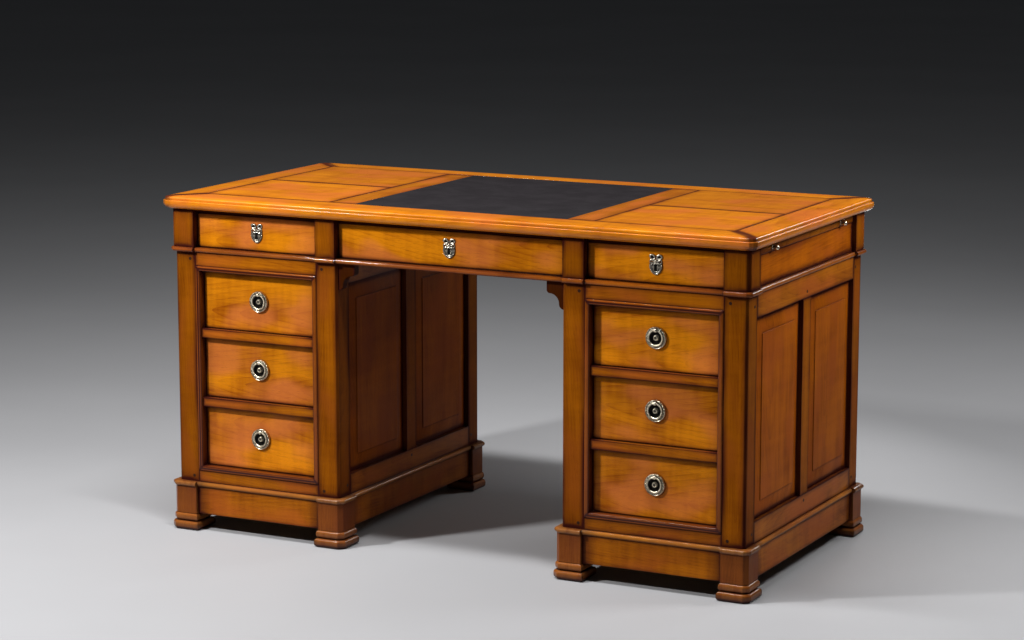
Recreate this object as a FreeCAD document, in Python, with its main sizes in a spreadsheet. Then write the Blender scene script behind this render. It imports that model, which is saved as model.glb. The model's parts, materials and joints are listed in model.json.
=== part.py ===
"""A pedestal partners desk as a parametric FreeCAD document, in millimetres.

X runs along the desk, the drawers open towards -Y and Z points up. The origin is on the floor,
under the middle of the top. Every size below is a cell of the sheet, and each piece is bound to it.
"""

import FreeCAD
import Part
import Sketcher

import math
import operator
import os

SIZES = {
    # The desk top: a mitred frame with two cross rails around boards and a leather inset.
    "top_length": 1480,
    "top_depth": 730,
    "desk_height": 790,
    "top_thickness": 30,
    "top_lip_height": 6,
    "top_lip_step": 4,
    "top_lip_round": 2.5,
    "top_cove": 12,
    "top_cant": 14,
    "top_rail_width": 74,
    "cross_rail_width": 62,
    "leather_length": 534,
    "leather_thickness": 1.6,
    "top_board_thickness": 20,
    "top_ledge": 10,
    # The frieze: posts that break forward, with three drawers between them.
    "post_overhang": 18,
    "post_break": 6,
    "post_cant": 8,
    "corner_post": 60,
    "middle_post": 52,
    "frieze_height": 100,
    "bead_height": 11,
    "frieze_strip_depth": 25,
    "frieze_top_rail": 8,
    "end_panel_thickness": 10,
    "end_panel_recess": 10,
    "web_thickness": 12,
    "runner_width": 22,
    "bearer_width": 40,
    "bearer_thickness": 13,
    # The writing slides above the end panels.
    "slide_thickness": 18,
    "slide_length": 330,
    "slide_gap": 1.5,
    "slide_lip_round": 3,
    "knob_spacing": 410,
    "knob_neck": 3.5,
    "knob_waist": 3.5,
    "knob_head": 12,
    # The pedestals: four posts, rails, raised panels and a moulded surround for the drawers.
    "pedestal_width": 433,
    "pedestal_cant": 5,
    "stile_width": 54,
    "stile_depth": 52,
    "frame_thickness": 22,
    "front_top_rail": 32,
    "front_bottom_rail": 27,
    "side_top_rail": 52,
    "side_bottom_rail": 48,
    "muntin_width": 46,
    "surround_width": 12,
    "surround_rise": 3,
    "surround_round": 4,
    "drawer_rail": 21,
    "drawer_rail_setback": 3,
    "upper_opening_loss": 7,
    "floor_thickness": 10,
    # Raised panels: a thin border, a wide bevel and a stepped field.
    "panel_setback": 10,
    "panel_border": 8,
    "panel_bevel": 40,
    "panel_rise": 5.5,
    "panel_step": 1.5,
    # Drawers.
    "drawer_recess": 16,
    "drawer_gap": 1.5,
    "front_thickness": 20,
    "box_back_gap": 64,
    "box_side": 12,
    "box_bottom": 6,
    "box_bottom_lift": 10,
    "box_headroom": 14,
    "frieze_box_height": 52,
    "drawer_runner_width": 26,
    "drawer_runner_height": 20,
    "drawer_guide_height": 12,
    # The plinth: blocks on moulded feet, boards between them and a bead above.
    "plinth_step": 11,
    "plinth_height": 116,
    "foot_height": 40,
    "lower_foot": 21,
    "block_width": 62,
    "block_cant": 10,
    "upper_foot_reach": 3.5,
    "lower_foot_reach": 7,
    "foot_round": 8,
    "board_setback": 8,
    "plinth_board": 22,
    # Ogee brackets in the kneehole corners, and the pegs of the joints.
    "bracket_drop": 20,
    "bracket_nose": 8,
    "bracket_cove": 22,
    "bracket_toe": 12,
    "bracket_thickness": 20,
    "bracket_setback": 2,
    "peg_radius": 3.5,
    "peg_depth": 14,
    "peg_rise": 0.4,
    "peg_inset": 14,
    # Ring pulls.
    "rosette_radius": 24,
    "rosette_plate": 1.2,
    "rosette_rim": 1.7,
    "boss_radius": 6,
    "boss_wall": 2.3,
    "boss_dome": 2.5,
    "ring_radius": 16.5,
    "ring_wire": 2.2,
    "ring_stand": 6.2,
    "ring_play": 0.7,
    "eye_radius": 4.4,
    "pull_lift": 5,
    # Escutcheons and locks.
    "escutcheon_width": 27,
    "escutcheon_foot": 9,
    "escutcheon_height": 36,
    "escutcheon_plate": 2,
    "escutcheon_drop": 3.5,
    "bow_radius": 5,
    "bow_wire": 1.9,
    "bow_thickness": 3,
    "bow_spread": 7.6,
    "bow_lift": 4,
    "keyhole_radius": 2.8,
    "keyhole_slot": 3,
    "keyhole_length": 13,
    "lock_width": 50,
    "lock_height": 60,
    "lock_depth": 12,
    "bolt_width": 14,
    "bolt_thickness": 5,
    "bolt_length": 24,
    "bolt_play": 0.3,
    "bolt_throw": 6,
}

OPERATIONS = {"+": operator.add, "-": operator.sub, "*": operator.mul, "/": operator.truediv}

# An offset of one unit on two sides shortens the cant between them by this much less than two units.
CANT_RATIO = 2 - math.sqrt(2)
# A boolean tool runs past the faces it cuts by this much.
PAST = 1.0
# How close two numbers are when they mean the same place.
NEAR = 1e-4
# How far round a rounded edge goes: just short of a half circle, so that its centre stays certain.
ROUND_RATIO = 0.96
# How much larger than half its chord an arc's radius is when it makes all but a half circle.
HALF_TURN_RATIO = 1.0001

doc = FreeCAD.newDocument("PartnersDesk")
sheet = doc.addObject("Spreadsheet::Sheet", "Sizes")
subparts = {}


class Size:
    """A length with the formula that FreeCAD evaluates and its present value."""

    def __init__(self, formula, value):
        self.formula = formula
        self.value = value

    def __add__(self, other):
        return combined(self, "+", other)

    def __radd__(self, other):
        return combined(other, "+", self)

    def __sub__(self, other):
        return combined(self, "-", other)

    def __rsub__(self, other):
        return combined(other, "-", self)

    def __mul__(self, other):
        return combined(self, "*", other)

    def __rmul__(self, other):
        return combined(other, "*", self)

    def __truediv__(self, other):
        return combined(self, "/", other)

    def __neg__(self):
        return combined(0, "-", self)


class Cells:
    """The sheet's cells, each read as a Size by its alias."""

    def __getattr__(self, name):
        return Size(f"Sizes.{name}", float(SIZES[name]))


def as_size(number):
    """A plain number as a Size."""
    return number if isinstance(number, Size) else Size(f"{float(number):.6f}", float(number))


def combined(left, sign, right):
    """The Size of one arithmetic step between two lengths or numbers."""
    left = as_size(left)
    right = as_size(right)
    value = OPERATIONS[sign](left.value, right.value)
    return Size(f"({left.formula} {sign} {right.formula})", value)


def fill_sheet():
    """Write each driving size to a row of the sheet, with its name as the cell's alias."""
    for row, (name, value) in enumerate(SIZES.items(), start=1):
        sheet.set(f"A{row}", name)
        sheet.set(f"B{row}", str(value))
        sheet.setAlias(f"B{row}", name)
    doc.recompute()


# ---------------------------------------------------------------------------------------------
# Tools that make bound pieces
# ---------------------------------------------------------------------------------------------


def bind(piece, path, size):
    """Bind one property of a piece to a Size."""
    piece.setExpression(path, as_size(size).formula)


def place(piece, x, y, z):
    """Bind where a piece stands."""
    for axis, size in zip("xyz", (x, y, z)):
        bind(piece, f"Placement.Base.{axis}", size)
    return piece


def turn(piece, axis, angle):
    """Turn a piece about its own origin."""
    piece.Placement.Rotation = FreeCAD.Rotation(FreeCAD.Vector(*axis), angle)
    return piece


def about(centre, width):
    """The range of the given width about a centre."""
    return (centre - width / 2, centre + width / 2)


def both(half):
    """The range that reaches equally far to either side of zero."""
    return (-half, half)


def flipped(reach):
    """The same range on the other side of zero."""
    return (-reach[1], -reach[0])


def board(name, x, y, z):
    """A plain board, from its range along each axis."""
    piece = doc.addObject("Part::Box", name)
    for side, (low, high) in zip(("Length", "Width", "Height"), (x, y, z)):
        bind(piece, side, high - low)
    return place(piece, x[0], y[0], z[0])


def rod(name, start, radius, length, axis):
    """A round rod from a starting point along +X, +Y or +Z."""
    piece = doc.addObject("Part::Cylinder", name)
    bind(piece, "Radius", radius)
    bind(piece, "Height", length)
    turns = {"x": ((0, 1, 0), 90), "y": ((1, 0, 0), -90), "z": ((0, 0, 1), 0)}
    return place(turn(piece, *turns[axis]), *start)


def ball(name, centre, radius):
    """A round ball."""
    piece = doc.addObject("Part::Sphere", name)
    bind(piece, "Radius", radius)
    return place(piece, *centre)


def hoop(name, centre, radius, wire):
    """A round wire ring that faces along Y."""
    piece = doc.addObject("Part::Torus", name)
    bind(piece, "Radius1", radius)
    bind(piece, "Radius2", wire)
    return place(turn(piece, (1, 0, 0), 90), *centre)


def fused(name, pieces):
    """One solid from pieces that touch or cross."""
    result = doc.addObject("Part::MultiFuse", name)
    result.Shapes = pieces
    return result


def bundle(name, pieces):
    """Separate solids kept together."""
    result = doc.addObject("Part::Compound", name)
    result.Links = pieces
    return result


def cut(name, piece, tools):
    """A piece with one or more tools taken away."""
    result = doc.addObject("Part::Cut", name)
    result.Base = piece
    result.Tool = tools[0] if len(tools) == 1 else bundle(f"{name}_tools", tools)
    return result


def shared(name, first, second):
    """What two pieces have in common."""
    result = doc.addObject("Part::Common", name)
    result.Base = first
    result.Tool = second
    return result


def subpart(label, pieces):
    """Register one named sub-part: a single piece, or several solids under one name."""
    result = pieces[0] if len(pieces) == 1 else bundle(label, pieces)
    result.Label = label
    subparts[label] = result
    return result


def arc_between(start, end, radius, left):
    """The arc under half a turn between two points, that turns left or right on its way."""
    chord = end - start
    lift = math.sqrt(max(radius**2 - (chord.Length / 2) ** 2, 0))
    side = FreeCAD.Vector(-chord.y, chord.x, 0).normalize() * (lift if left else -lift)
    centre = start + chord * 0.5 + side
    angles = [math.atan2(point.y - centre.y, point.x - centre.x) for point in (start, end)]
    if not left:
        angles.reverse()
    circle = Part.Circle(centre, FreeCAD.Vector(0, 0, 1), radius)
    return Part.ArcOfCircle(circle, angles[0], angles[1])


def cap_radius(half_width, height):
    """The radius of a round cap, so that its centre is on its axis."""
    return (half_width * half_width + height * height) / (2 * height)


def turned(name, profile, at, axis, angle):
    """A body turned on a lathe. The profile's second number runs along the lathe's axis."""
    body = doc.addObject("PartDesign::Body", name)
    revolution = body.newObject("PartDesign::Revolution", f"{name}_turning")
    revolution.Profile = new_sketch(body, f"{name}_sketch", "XY_Plane", [profile])
    revolution.ReferenceAxis = (revolution.Profile[0], ["V_Axis"])
    revolution.Angle = 360
    body.Tip = revolution
    return place(turn(body, axis, angle), *at)


def draw_outline(sketch, corners):
    """Draw a closed outline and bind each corner.

    A corner is (x, y), or (x, y, radius, left) where an arc leads from it to the next one.
    """
    points = [FreeCAD.Vector(as_size(corner[0]).value, as_size(corner[1]).value, 0) for corner in corners]
    ends = []
    for index, corner in enumerate(corners):
        start = points[index]
        end = points[(index + 1) % len(points)]
        if len(corner) == 2:
            edge = sketch.addGeometry(Part.LineSegment(start, end), False)
            ends.append((edge, 1, 2))
        else:
            radius, left = corner[2:]
            arc = arc_between(start, end, as_size(radius).value, left)
            edge = sketch.addGeometry(arc, False)
            ends.append((edge, 1, 2) if left else (edge, 2, 1))
    for (edge, _, last), (following, first, _) in zip(ends, ends[1:] + ends[:1]):
        sketch.addConstraint(Sketcher.Constraint("Coincident", edge, last, following, first))
    for corner, (edge, first, _) in zip(corners, ends):
        for kind, size in (("DistanceX", corner[0]), ("DistanceY", corner[1])):
            size = as_size(size)
            row = sketch.addConstraint(Sketcher.Constraint(kind, -1, 1, edge, first, size.value))
            bind(sketch, f"Constraints[{row}]", size)
        if len(corner) > 2:
            radius = as_size(corner[2])
            row = sketch.addConstraint(Sketcher.Constraint("Radius", edge, radius.value))
            bind(sketch, f"Constraints[{row}]", radius)


def new_sketch(body, name, plane, outlines, lift=0):
    """A sketch on one of a body's own planes, lifted off it if asked, with its closed outlines."""
    sketch = body.newObject("Sketcher::SketchObject", name)
    origin_planes = {feature.Role: feature for feature in body.Origin.OriginFeatures}
    sketch.AttachmentSupport = (origin_planes[plane], "")
    sketch.MapMode = "FlatFace"
    bind(sketch, "AttachmentOffset.Base.z", lift)
    for corners in outlines:
        draw_outline(sketch, corners)
    return sketch


def slab(name, outlines, thickness, at, plane="XY_Plane"):
    """A body padded from outlines. It grows along +Z, or along -Y from the XZ plane."""
    body = doc.addObject("PartDesign::Body", name)
    pad = body.newObject("PartDesign::Pad", f"{name}_pad")
    pad.Profile = new_sketch(body, f"{name}_sketch", plane, outlines)
    bind(pad, "Length", thickness)
    body.Tip = pad
    place(body, *at)
    return body


def round_edges(body, radius, wanted):
    """Round the edges of a body that the test picks by their middle points."""
    doc.recompute()
    base = body.Tip
    names = []
    for index, edge in enumerate(base.Shape.Edges, start=1):
        middle = (edge.Vertexes[0].Point + edge.Vertexes[-1].Point) * 0.5
        if wanted(edge, middle):
            names.append(f"Edge{index}")
    if not names:
        raise RuntimeError(f"{body.Name}: no edge to round")
    rounding = body.newObject("PartDesign::Fillet", f"{base.Name}_rounding")
    rounding.Base = (base, names)
    bind(rounding, "Radius", radius)
    body.Tip = rounding
    return body


def is_level(edge):
    """Whether a straight edge lies flat."""
    return abs(edge.Vertexes[0].Z - edge.Vertexes[-1].Z) < NEAR


def rectangle(width, height):
    """A rectangle's outline from its lower left corner."""
    return [(0, 0), (width, 0), (width, height), (0, height)]


def canted_rectangle(half_length, half_depth, cant):
    """A centred rectangle's outline with its corners cut off at 45 degrees."""
    return [
        (-half_length + cant, -half_depth),
        (half_length - cant, -half_depth),
        (half_length, -half_depth + cant),
        (half_length, half_depth - cant),
        (half_length - cant, half_depth),
        (-half_length + cant, half_depth),
        (-half_length, half_depth - cant),
        (-half_length, -half_depth + cant),
    ]


def canted_post(name, corner, inward, width, depth, cant, z):
    """A square post with its outer corner cut off. inward holds the signs that lead into the post."""
    sign_x, sign_y = inward
    outline = [
        (sign_x * cant, as_size(0)),
        (sign_x * width, as_size(0)),
        (sign_x * width, sign_y * depth),
        (as_size(0), sign_y * depth),
        (as_size(0), sign_y * cant),
    ]
    return slab(name, [outline], z[1] - z[0], (corner[0], corner[1], z[0]))


def round_outer_edges(post, radius, inward, width):
    """Round the level edges of a canted post on its outer faces."""
    inner_x = inward[0] * width.value
    inner_y = inward[1] * width.value

    def outer(edge, middle):
        on_inner_side = abs(middle.x - inner_x) < NEAR or abs(middle.y - inner_y) < NEAR
        return is_level(edge) and not on_inner_side

    return round_edges(post, radius, outer)


def nosed_strip(name, x, y, z, nose, radius):
    """A strip whose long edges on one side are rounded to a nose. nose is "-x", "+x", "-y" or "+y"."""
    outline = rectangle(x[1] - x[0], y[1] - y[0])
    strip = slab(name, [outline], z[1] - z[0], (x[0], y[0], z[0]))
    axis = 0 if nose[1] == "x" else 1
    reach = x if axis == 0 else y
    edge_place = 0.0 if nose[0] == "-" else as_size(reach[1] - reach[0]).value

    def on_nose(edge, middle):
        return is_level(edge) and abs(middle[axis] - edge_place) < NEAR

    return round_edges(strip, radius, on_nose)


# ---------------------------------------------------------------------------------------------
# Places shared by the pieces
# ---------------------------------------------------------------------------------------------

fill_sheet()
S = Cells()

TOP_HALF_LENGTH = S.top_length / 2
TOP_HALF_DEPTH = S.top_depth / 2
TOP_UNDERSIDE = S.desk_height - S.top_thickness
INSET_HALF_LENGTH = TOP_HALF_LENGTH - S.top_rail_width
INSET_HALF_DEPTH = TOP_HALF_DEPTH - S.top_rail_width
BOARD_UNDERSIDE = S.desk_height - S.top_board_thickness

POST_X = TOP_HALF_LENGTH - S.post_overhang
POST_Y = TOP_HALF_DEPTH - S.post_overhang
FACE_X = POST_X - S.post_break
FACE_Y = POST_Y - S.post_break
KNEE_X = FACE_X - S.pedestal_width
PEDESTAL_X = FACE_X - S.pedestal_width / 2
OUTER_STILE_X = FACE_X - S.stile_width
INNER_STILE_X = KNEE_X + S.stile_width
STILE_Y = FACE_Y - S.stile_depth
MIDDLE_POST_X = INNER_STILE_X - S.middle_post

FRIEZE_BOTTOM = TOP_UNDERSIDE - S.frieze_height
BEAD_TOP = FRIEZE_BOTTOM + S.bead_height
BEAD_RADIUS = S.bead_height / 2
BEAD_ROUND = BEAD_RADIUS * ROUND_RATIO
PLINTH_BEAD = S.plinth_height - S.bead_height
TOP_RAIL_UNDERSIDE = TOP_UNDERSIDE - S.frieze_top_rail
SLIDE_BOTTOM = TOP_UNDERSIDE - S.slide_thickness - 2 * S.slide_gap
FRIEZE_FRONT_Y = -POST_Y + S.drawer_recess
DRAWER_FRONT_Y = -FACE_Y + S.drawer_recess
FRAME_BACK_Y = FACE_Y - S.frame_thickness
BOX_BACK_Y = FRAME_BACK_Y - S.box_back_gap

SURROUND_BOTTOM = S.plinth_height + S.front_bottom_rail
SURROUND_TOP = FRIEZE_BOTTOM - S.front_top_rail
OPENING_HALF_WIDTH = (OUTER_STILE_X - INNER_STILE_X) / 2 - S.surround_width
OPENING_BOTTOM = SURROUND_BOTTOM + S.surround_width
OPENING_TOP = SURROUND_TOP - S.surround_width
PANEL_BOTTOM = S.plinth_height + S.side_bottom_rail
PANEL_TOP = FRIEZE_BOTTOM - S.side_top_rail

PLINTH_X = FACE_X + S.plinth_step
PLINTH_Y = FACE_Y + S.plinth_step
PLINTH_KNEE_X = KNEE_X - S.plinth_step
BLOCK_INNER_Y = PLINTH_Y - S.block_width

SIDES = {"left": -1, "right": 1}
CORNERS = ((-1, -1), (1, -1), (1, 1), (-1, 1))
PEDESTAL_LEVELS = ("lower", "middle", "upper")


def opening_levels():
    """The bottom and top of each pedestal drawer's opening, from the lowest one up."""
    free_height = OPENING_TOP - OPENING_BOTTOM - 2 * S.drawer_rail
    lower_height = (free_height + S.upper_opening_loss) / 3
    step = lower_height + S.drawer_rail
    return (
        (OPENING_BOTTOM, OPENING_BOTTOM + lower_height),
        (OPENING_BOTTOM + step, OPENING_BOTTOM + step + lower_height),
        (OPENING_BOTTOM + 2 * step, OPENING_TOP),
    )


def on_side(side, low, high):
    """A range on the positive side, or its mirror image on the negative one."""
    return (low, high) if side > 0 else (-high, -low)


# ---------------------------------------------------------------------------------------------
# The top
# ---------------------------------------------------------------------------------------------


def top_blank():
    """The whole moulded top, before it is parted into rails: a round-edged slab under a thin lip."""
    slab_outline = canted_rectangle(TOP_HALF_LENGTH, TOP_HALF_DEPTH, S.top_cant)
    lip_cant = S.top_cant - S.top_lip_step * CANT_RATIO
    lip_half_length = TOP_HALF_LENGTH - S.top_lip_step
    lip_half_depth = TOP_HALF_DEPTH - S.top_lip_step
    lip_outline = canted_rectangle(lip_half_length, lip_half_depth, lip_cant)
    slab_height = S.top_thickness - S.top_lip_height
    blank = slab("top_blank", [slab_outline], slab_height, (0, 0, TOP_UNDERSIDE))
    lip = blank.newObject("PartDesign::Pad", "top_lip")
    lip.Profile = new_sketch(blank, "top_lip_sketch", "XY_Plane", [lip_outline], slab_height)
    bind(lip, "Length", S.top_lip_height)
    blank.Tip = lip
    levels = {"under": 0.0, "ledge": slab_height.value, "over": S.top_thickness.value}
    reach = TOP_HALF_LENGTH.value - S.top_lip_step.value / 2
    side_reach = TOP_HALF_DEPTH.value - S.top_lip_step.value / 2
    corner_reach = reach + side_reach - S.top_cant.value

    def at(level, outermost=True):
        def wanted(edge, middle):
            outside = (
                abs(middle.x) > reach
                or abs(middle.y) > side_reach
                or abs(middle.x) + abs(middle.y) > corner_reach
            )
            return is_level(edge) and abs(middle.z - levels[level]) < NEAR and outside == outermost

        return wanted

    round_edges(blank, S.top_lip_round, at("over", outermost=False))
    round_edges(blank, S.top_lip_round, at("ledge"))
    round_edges(blank, S.top_cove, at("under"))
    return blank


def mitred_prism(name, side):
    """The quarter of the top that one rail takes, bounded by the mitres at its ends."""
    apex = TOP_HALF_LENGTH - TOP_HALF_DEPTH
    outlines = {
        "front": [
            (-TOP_HALF_LENGTH, -TOP_HALF_DEPTH),
            (TOP_HALF_LENGTH, -TOP_HALF_DEPTH),
            (apex, as_size(0)),
            (-apex, as_size(0)),
        ],
        "right": [
            (TOP_HALF_LENGTH, -TOP_HALF_DEPTH),
            (TOP_HALF_LENGTH, TOP_HALF_DEPTH),
            (apex, as_size(0)),
        ],
    }
    outlines["back"] = [(-x, -y) for x, y in outlines["front"]]
    outlines["left"] = [(-x, -y) for x, y in outlines["right"]]
    return slab(name, [outlines[side]], S.top_thickness, (0, 0, TOP_UNDERSIDE))


def make_top_frame():
    """Four mitred rails with a moulded edge and two cross rails, rebated for the boards."""
    ledge_length = INSET_HALF_LENGTH - S.top_ledge
    ledge_depth = INSET_HALF_DEPTH - S.top_ledge
    through = (TOP_UNDERSIDE - PAST, S.desk_height + PAST)
    above_ledge = (BOARD_UNDERSIDE, S.desk_height + PAST)
    window = board("top_window", both(ledge_length), both(ledge_depth), through)
    rebate = board("top_rebate", both(INSET_HALF_LENGTH), both(INSET_HALF_DEPTH), above_ledge)
    ring = cut("top_ring", top_blank(), [window, rebate])
    pieces = []
    for side in ("front", "back", "left", "right"):
        quarter = mitred_prism(f"top_{side}_quarter", side)
        pieces.append(shared(f"top_{side}_rail", ring, quarter))
    for side, sign in SIDES.items():
        centre = sign * (S.leather_length + S.cross_rail_width) / 2
        upper = board(
            f"top_{side}_cross_rail_face",
            about(centre, S.cross_rail_width),
            both(INSET_HALF_DEPTH),
            (BOARD_UNDERSIDE, S.desk_height),
        )
        lower = board(
            f"top_{side}_cross_rail_ledge",
            about(centre, S.cross_rail_width + 2 * S.top_ledge),
            both(ledge_depth),
            (TOP_UNDERSIDE, BOARD_UNDERSIDE),
        )
        pieces.append(fused(f"top_{side}_cross_rail", [upper, lower]))
    subpart("top_frame", pieces)


def make_top_boards():
    """Two boards in each side panel and one ground board under the leather."""
    inner = S.leather_length / 2 + S.cross_rail_width
    upright = (BOARD_UNDERSIDE, S.desk_height)
    pieces = []
    for side, sign in SIDES.items():
        along = on_side(sign, inner, INSET_HALF_LENGTH)
        pieces.append(board(f"top_{side}_front_board", along, (-INSET_HALF_DEPTH, as_size(0)), upright))
        pieces.append(board(f"top_{side}_back_board", along, (as_size(0), INSET_HALF_DEPTH), upright))
    ground_top = S.desk_height - S.leather_thickness
    ground = board(
        "leather_ground", both(S.leather_length / 2), both(INSET_HALF_DEPTH), (BOARD_UNDERSIDE, ground_top)
    )
    subpart("top_boards", pieces + [ground])
    leather = board(
        "writing_leather",
        both(S.leather_length / 2),
        both(INSET_HALF_DEPTH),
        (ground_top, S.desk_height),
    )
    subpart("writing_leather", [leather])


# ---------------------------------------------------------------------------------------------
# The frieze
# ---------------------------------------------------------------------------------------------


def make_frieze_posts():
    """Canted posts at the corners and plain ones above the inner stiles, front and back."""
    upright = (BEAD_TOP, TOP_UNDERSIDE)
    pieces = []
    for sign_x, sign_y in CORNERS:
        pieces.append(
            canted_post(
                f"corner_post_{len(pieces)}",
                (sign_x * POST_X, sign_y * POST_Y),
                (-sign_x, -sign_y),
                S.corner_post,
                S.corner_post,
                S.post_cant,
                upright,
            )
        )
    for sign_x, sign_y in CORNERS:
        across = on_side(sign_x, MIDDLE_POST_X, INNER_STILE_X)
        deep = on_side(sign_y, POST_Y - S.middle_post, POST_Y)
        pieces.append(board(f"middle_post_{len(pieces)}", across, deep, upright))
    subpart("frieze_posts", pieces)


def make_frieze_bead():
    """The nosed course under the frieze: it breaks forward as a collar under each post."""
    level = (FRIEZE_BOTTOM, BEAD_TOP)
    pieces = []
    collar_width = S.corner_post + BEAD_RADIUS
    for sign_x, sign_y in CORNERS:
        inward = (-sign_x, -sign_y)
        collar = canted_post(
            f"corner_collar_{len(pieces)}",
            (sign_x * (POST_X + BEAD_RADIUS), sign_y * (POST_Y + BEAD_RADIUS)),
            inward,
            collar_width,
            collar_width,
            S.post_cant + BEAD_RADIUS * CANT_RATIO,
            level,
        )
        pieces.append(round_outer_edges(collar, BEAD_ROUND, inward, collar_width))
    strip_reach = (FACE_Y + BEAD_RADIUS - S.frieze_strip_depth, FACE_Y + BEAD_RADIUS)
    for sign_y, nose in ((-1, "-y"), (1, "+y")):
        deep = on_side(sign_y, *strip_reach)
        for sign_x in SIDES.values():
            across = on_side(sign_x, MIDDLE_POST_X, INNER_STILE_X)
            collar_reach = on_side(sign_y, POST_Y - S.middle_post, POST_Y + BEAD_RADIUS)
            name = f"middle_collar_{len(pieces)}"
            pieces.append(nosed_strip(name, across, collar_reach, level, nose, BEAD_ROUND))
            along = on_side(sign_x, INNER_STILE_X, OUTER_STILE_X)
            pieces.append(nosed_strip(f"bead_{len(pieces)}", along, deep, level, nose, BEAD_ROUND))
        middle = both(MIDDLE_POST_X)
        pieces.append(nosed_strip(f"bead_{len(pieces)}", middle, deep, level, nose, BEAD_ROUND))
    end_reach = (FACE_X + BEAD_RADIUS - S.frieze_strip_depth, FACE_X + BEAD_RADIUS)
    for sign_x, nose in ((-1, "-x"), (1, "+x")):
        across = on_side(sign_x, *end_reach)
        deep = both(POST_Y - S.corner_post)
        pieces.append(nosed_strip(f"bead_{len(pieces)}", across, deep, level, nose, BEAD_ROUND))
    subpart("frieze_bead", pieces)


def frieze_runners(sign):
    """The boards that the frieze drawers on one side run on, between the bead's strips."""
    level = (FRIEZE_BOTTOM, BEAD_TOP)
    full = both(FACE_Y + BEAD_RADIUS - S.frieze_strip_depth)
    between_posts = both(POST_Y - S.middle_post)
    beyond = POST_X - S.corner_post
    spans = (
        ("knee_runner", MIDDLE_POST_X - S.runner_width, MIDDLE_POST_X, full),
        ("post_runner", MIDDLE_POST_X, INNER_STILE_X, between_posts),
        ("inner_runner", INNER_STILE_X, INNER_STILE_X + S.runner_width, full),
        ("outer_runner", beyond - S.runner_width, beyond, full),
        (
            "end_runner",
            beyond,
            FACE_X + BEAD_RADIUS - S.frieze_strip_depth,
            both(POST_Y - S.corner_post),
        ),
    )
    name = "right" if sign > 0 else "left"
    return [
        board(f"{name}_{label}", on_side(sign, low, high), deep, level)
        for label, low, high, deep in spans
    ]


def frieze_webs(sign):
    """The upright webs that guide the drawers, and the bearers that the writing slide rides on."""
    name = "right" if sign > 0 else "left"
    web_depth = both(POST_Y - S.middle_post)
    inner_web = on_side(sign, MIDDLE_POST_X, MIDDLE_POST_X + S.web_thickness)
    outer_web = on_side(sign, INNER_STILE_X - S.web_thickness, INNER_STILE_X)
    corner = POST_X - S.corner_post
    end_web = on_side(sign, corner, corner + S.web_thickness)
    pieces = [
        board(f"{name}_knee_web", inner_web, web_depth, (BEAD_TOP, TOP_UNDERSIDE)),
        board(f"{name}_drawer_web", outer_web, web_depth, (BEAD_TOP, TOP_UNDERSIDE)),
        board(f"{name}_end_web", end_web, both(POST_Y - S.corner_post), (BEAD_TOP, SLIDE_BOTTOM)),
    ]
    along = on_side(sign, INNER_STILE_X, corner)
    level = (SLIDE_BOTTOM - S.bearer_thickness, SLIDE_BOTTOM)
    outer = POST_Y - S.middle_post
    for sign_y in (-1, 1):
        deep = on_side(sign_y, outer - S.bearer_width, outer)
        pieces.append(board(f"{name}_bearer_{'back' if sign_y > 0 else 'front'}", along, deep, level))
    return pieces


def lock_mortise(centre):
    """The slot in a top rail that takes the raised bolt of the drawer below it."""
    slot_width = S.bolt_width + 2 * S.bolt_play
    lock_y = FRIEZE_FRONT_Y + S.front_thickness - S.lock_depth / 2
    slot_depth = about(lock_y, S.bolt_thickness + 2 * S.bolt_play)
    slot = (TOP_RAIL_UNDERSIDE - PAST, TOP_RAIL_UNDERSIDE + S.bolt_throw)
    return board("bolt_mortise", about(centre, slot_width), slot_depth, slot)


def frieze_openings():
    """The name, centre and width of each of the three drawer openings in the frieze."""
    side_centre = (INNER_STILE_X + OUTER_STILE_X) / 2
    side_width = OUTER_STILE_X - INNER_STILE_X
    return (
        ("left", -side_centre, side_width),
        ("centre", as_size(0), 2 * MIDDLE_POST_X),
        ("right", side_centre, side_width),
    )


def make_frieze_frame():
    """The rails above the drawers, and the runners, webs and bearers inside the frieze."""
    pieces = frieze_runners(-1) + frieze_runners(1) + frieze_webs(-1) + frieze_webs(1)
    level = (TOP_RAIL_UNDERSIDE, TOP_UNDERSIDE)
    front_reach = (FRIEZE_FRONT_Y, -POST_Y + S.middle_post)
    for name, centre, width in frieze_openings():
        front = board(f"{name}_front_top_rail", about(centre, width), front_reach, level)
        pieces.append(cut(f"{name}_mortised_rail", front, [lock_mortise(centre)]))
        pieces.append(board(f"{name}_back_top_rail", about(centre, width), flipped(front_reach), level))
    subpart("frieze_frame", pieces)


def make_frieze_panels():
    """The plain end panels below the slides, and the fixed fronts on the back."""
    pieces = []
    high = POST_X - S.end_panel_recess
    deep = both(POST_Y - S.corner_post)
    for name, sign in SIDES.items():
        across = on_side(sign, high - S.end_panel_thickness, high)
        pieces.append(board(f"{name}_end_panel", across, deep, (BEAD_TOP, SLIDE_BOTTOM)))
    back_face = -FRIEZE_FRONT_Y
    for name, centre, width in frieze_openings():
        reach = (back_face - S.front_thickness, back_face)
        level = (BEAD_TOP, TOP_RAIL_UNDERSIDE)
        pieces.append(board(f"{name}_fixed_front", about(centre, width), reach, level))
    subpart("frieze_panels", pieces)


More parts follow.
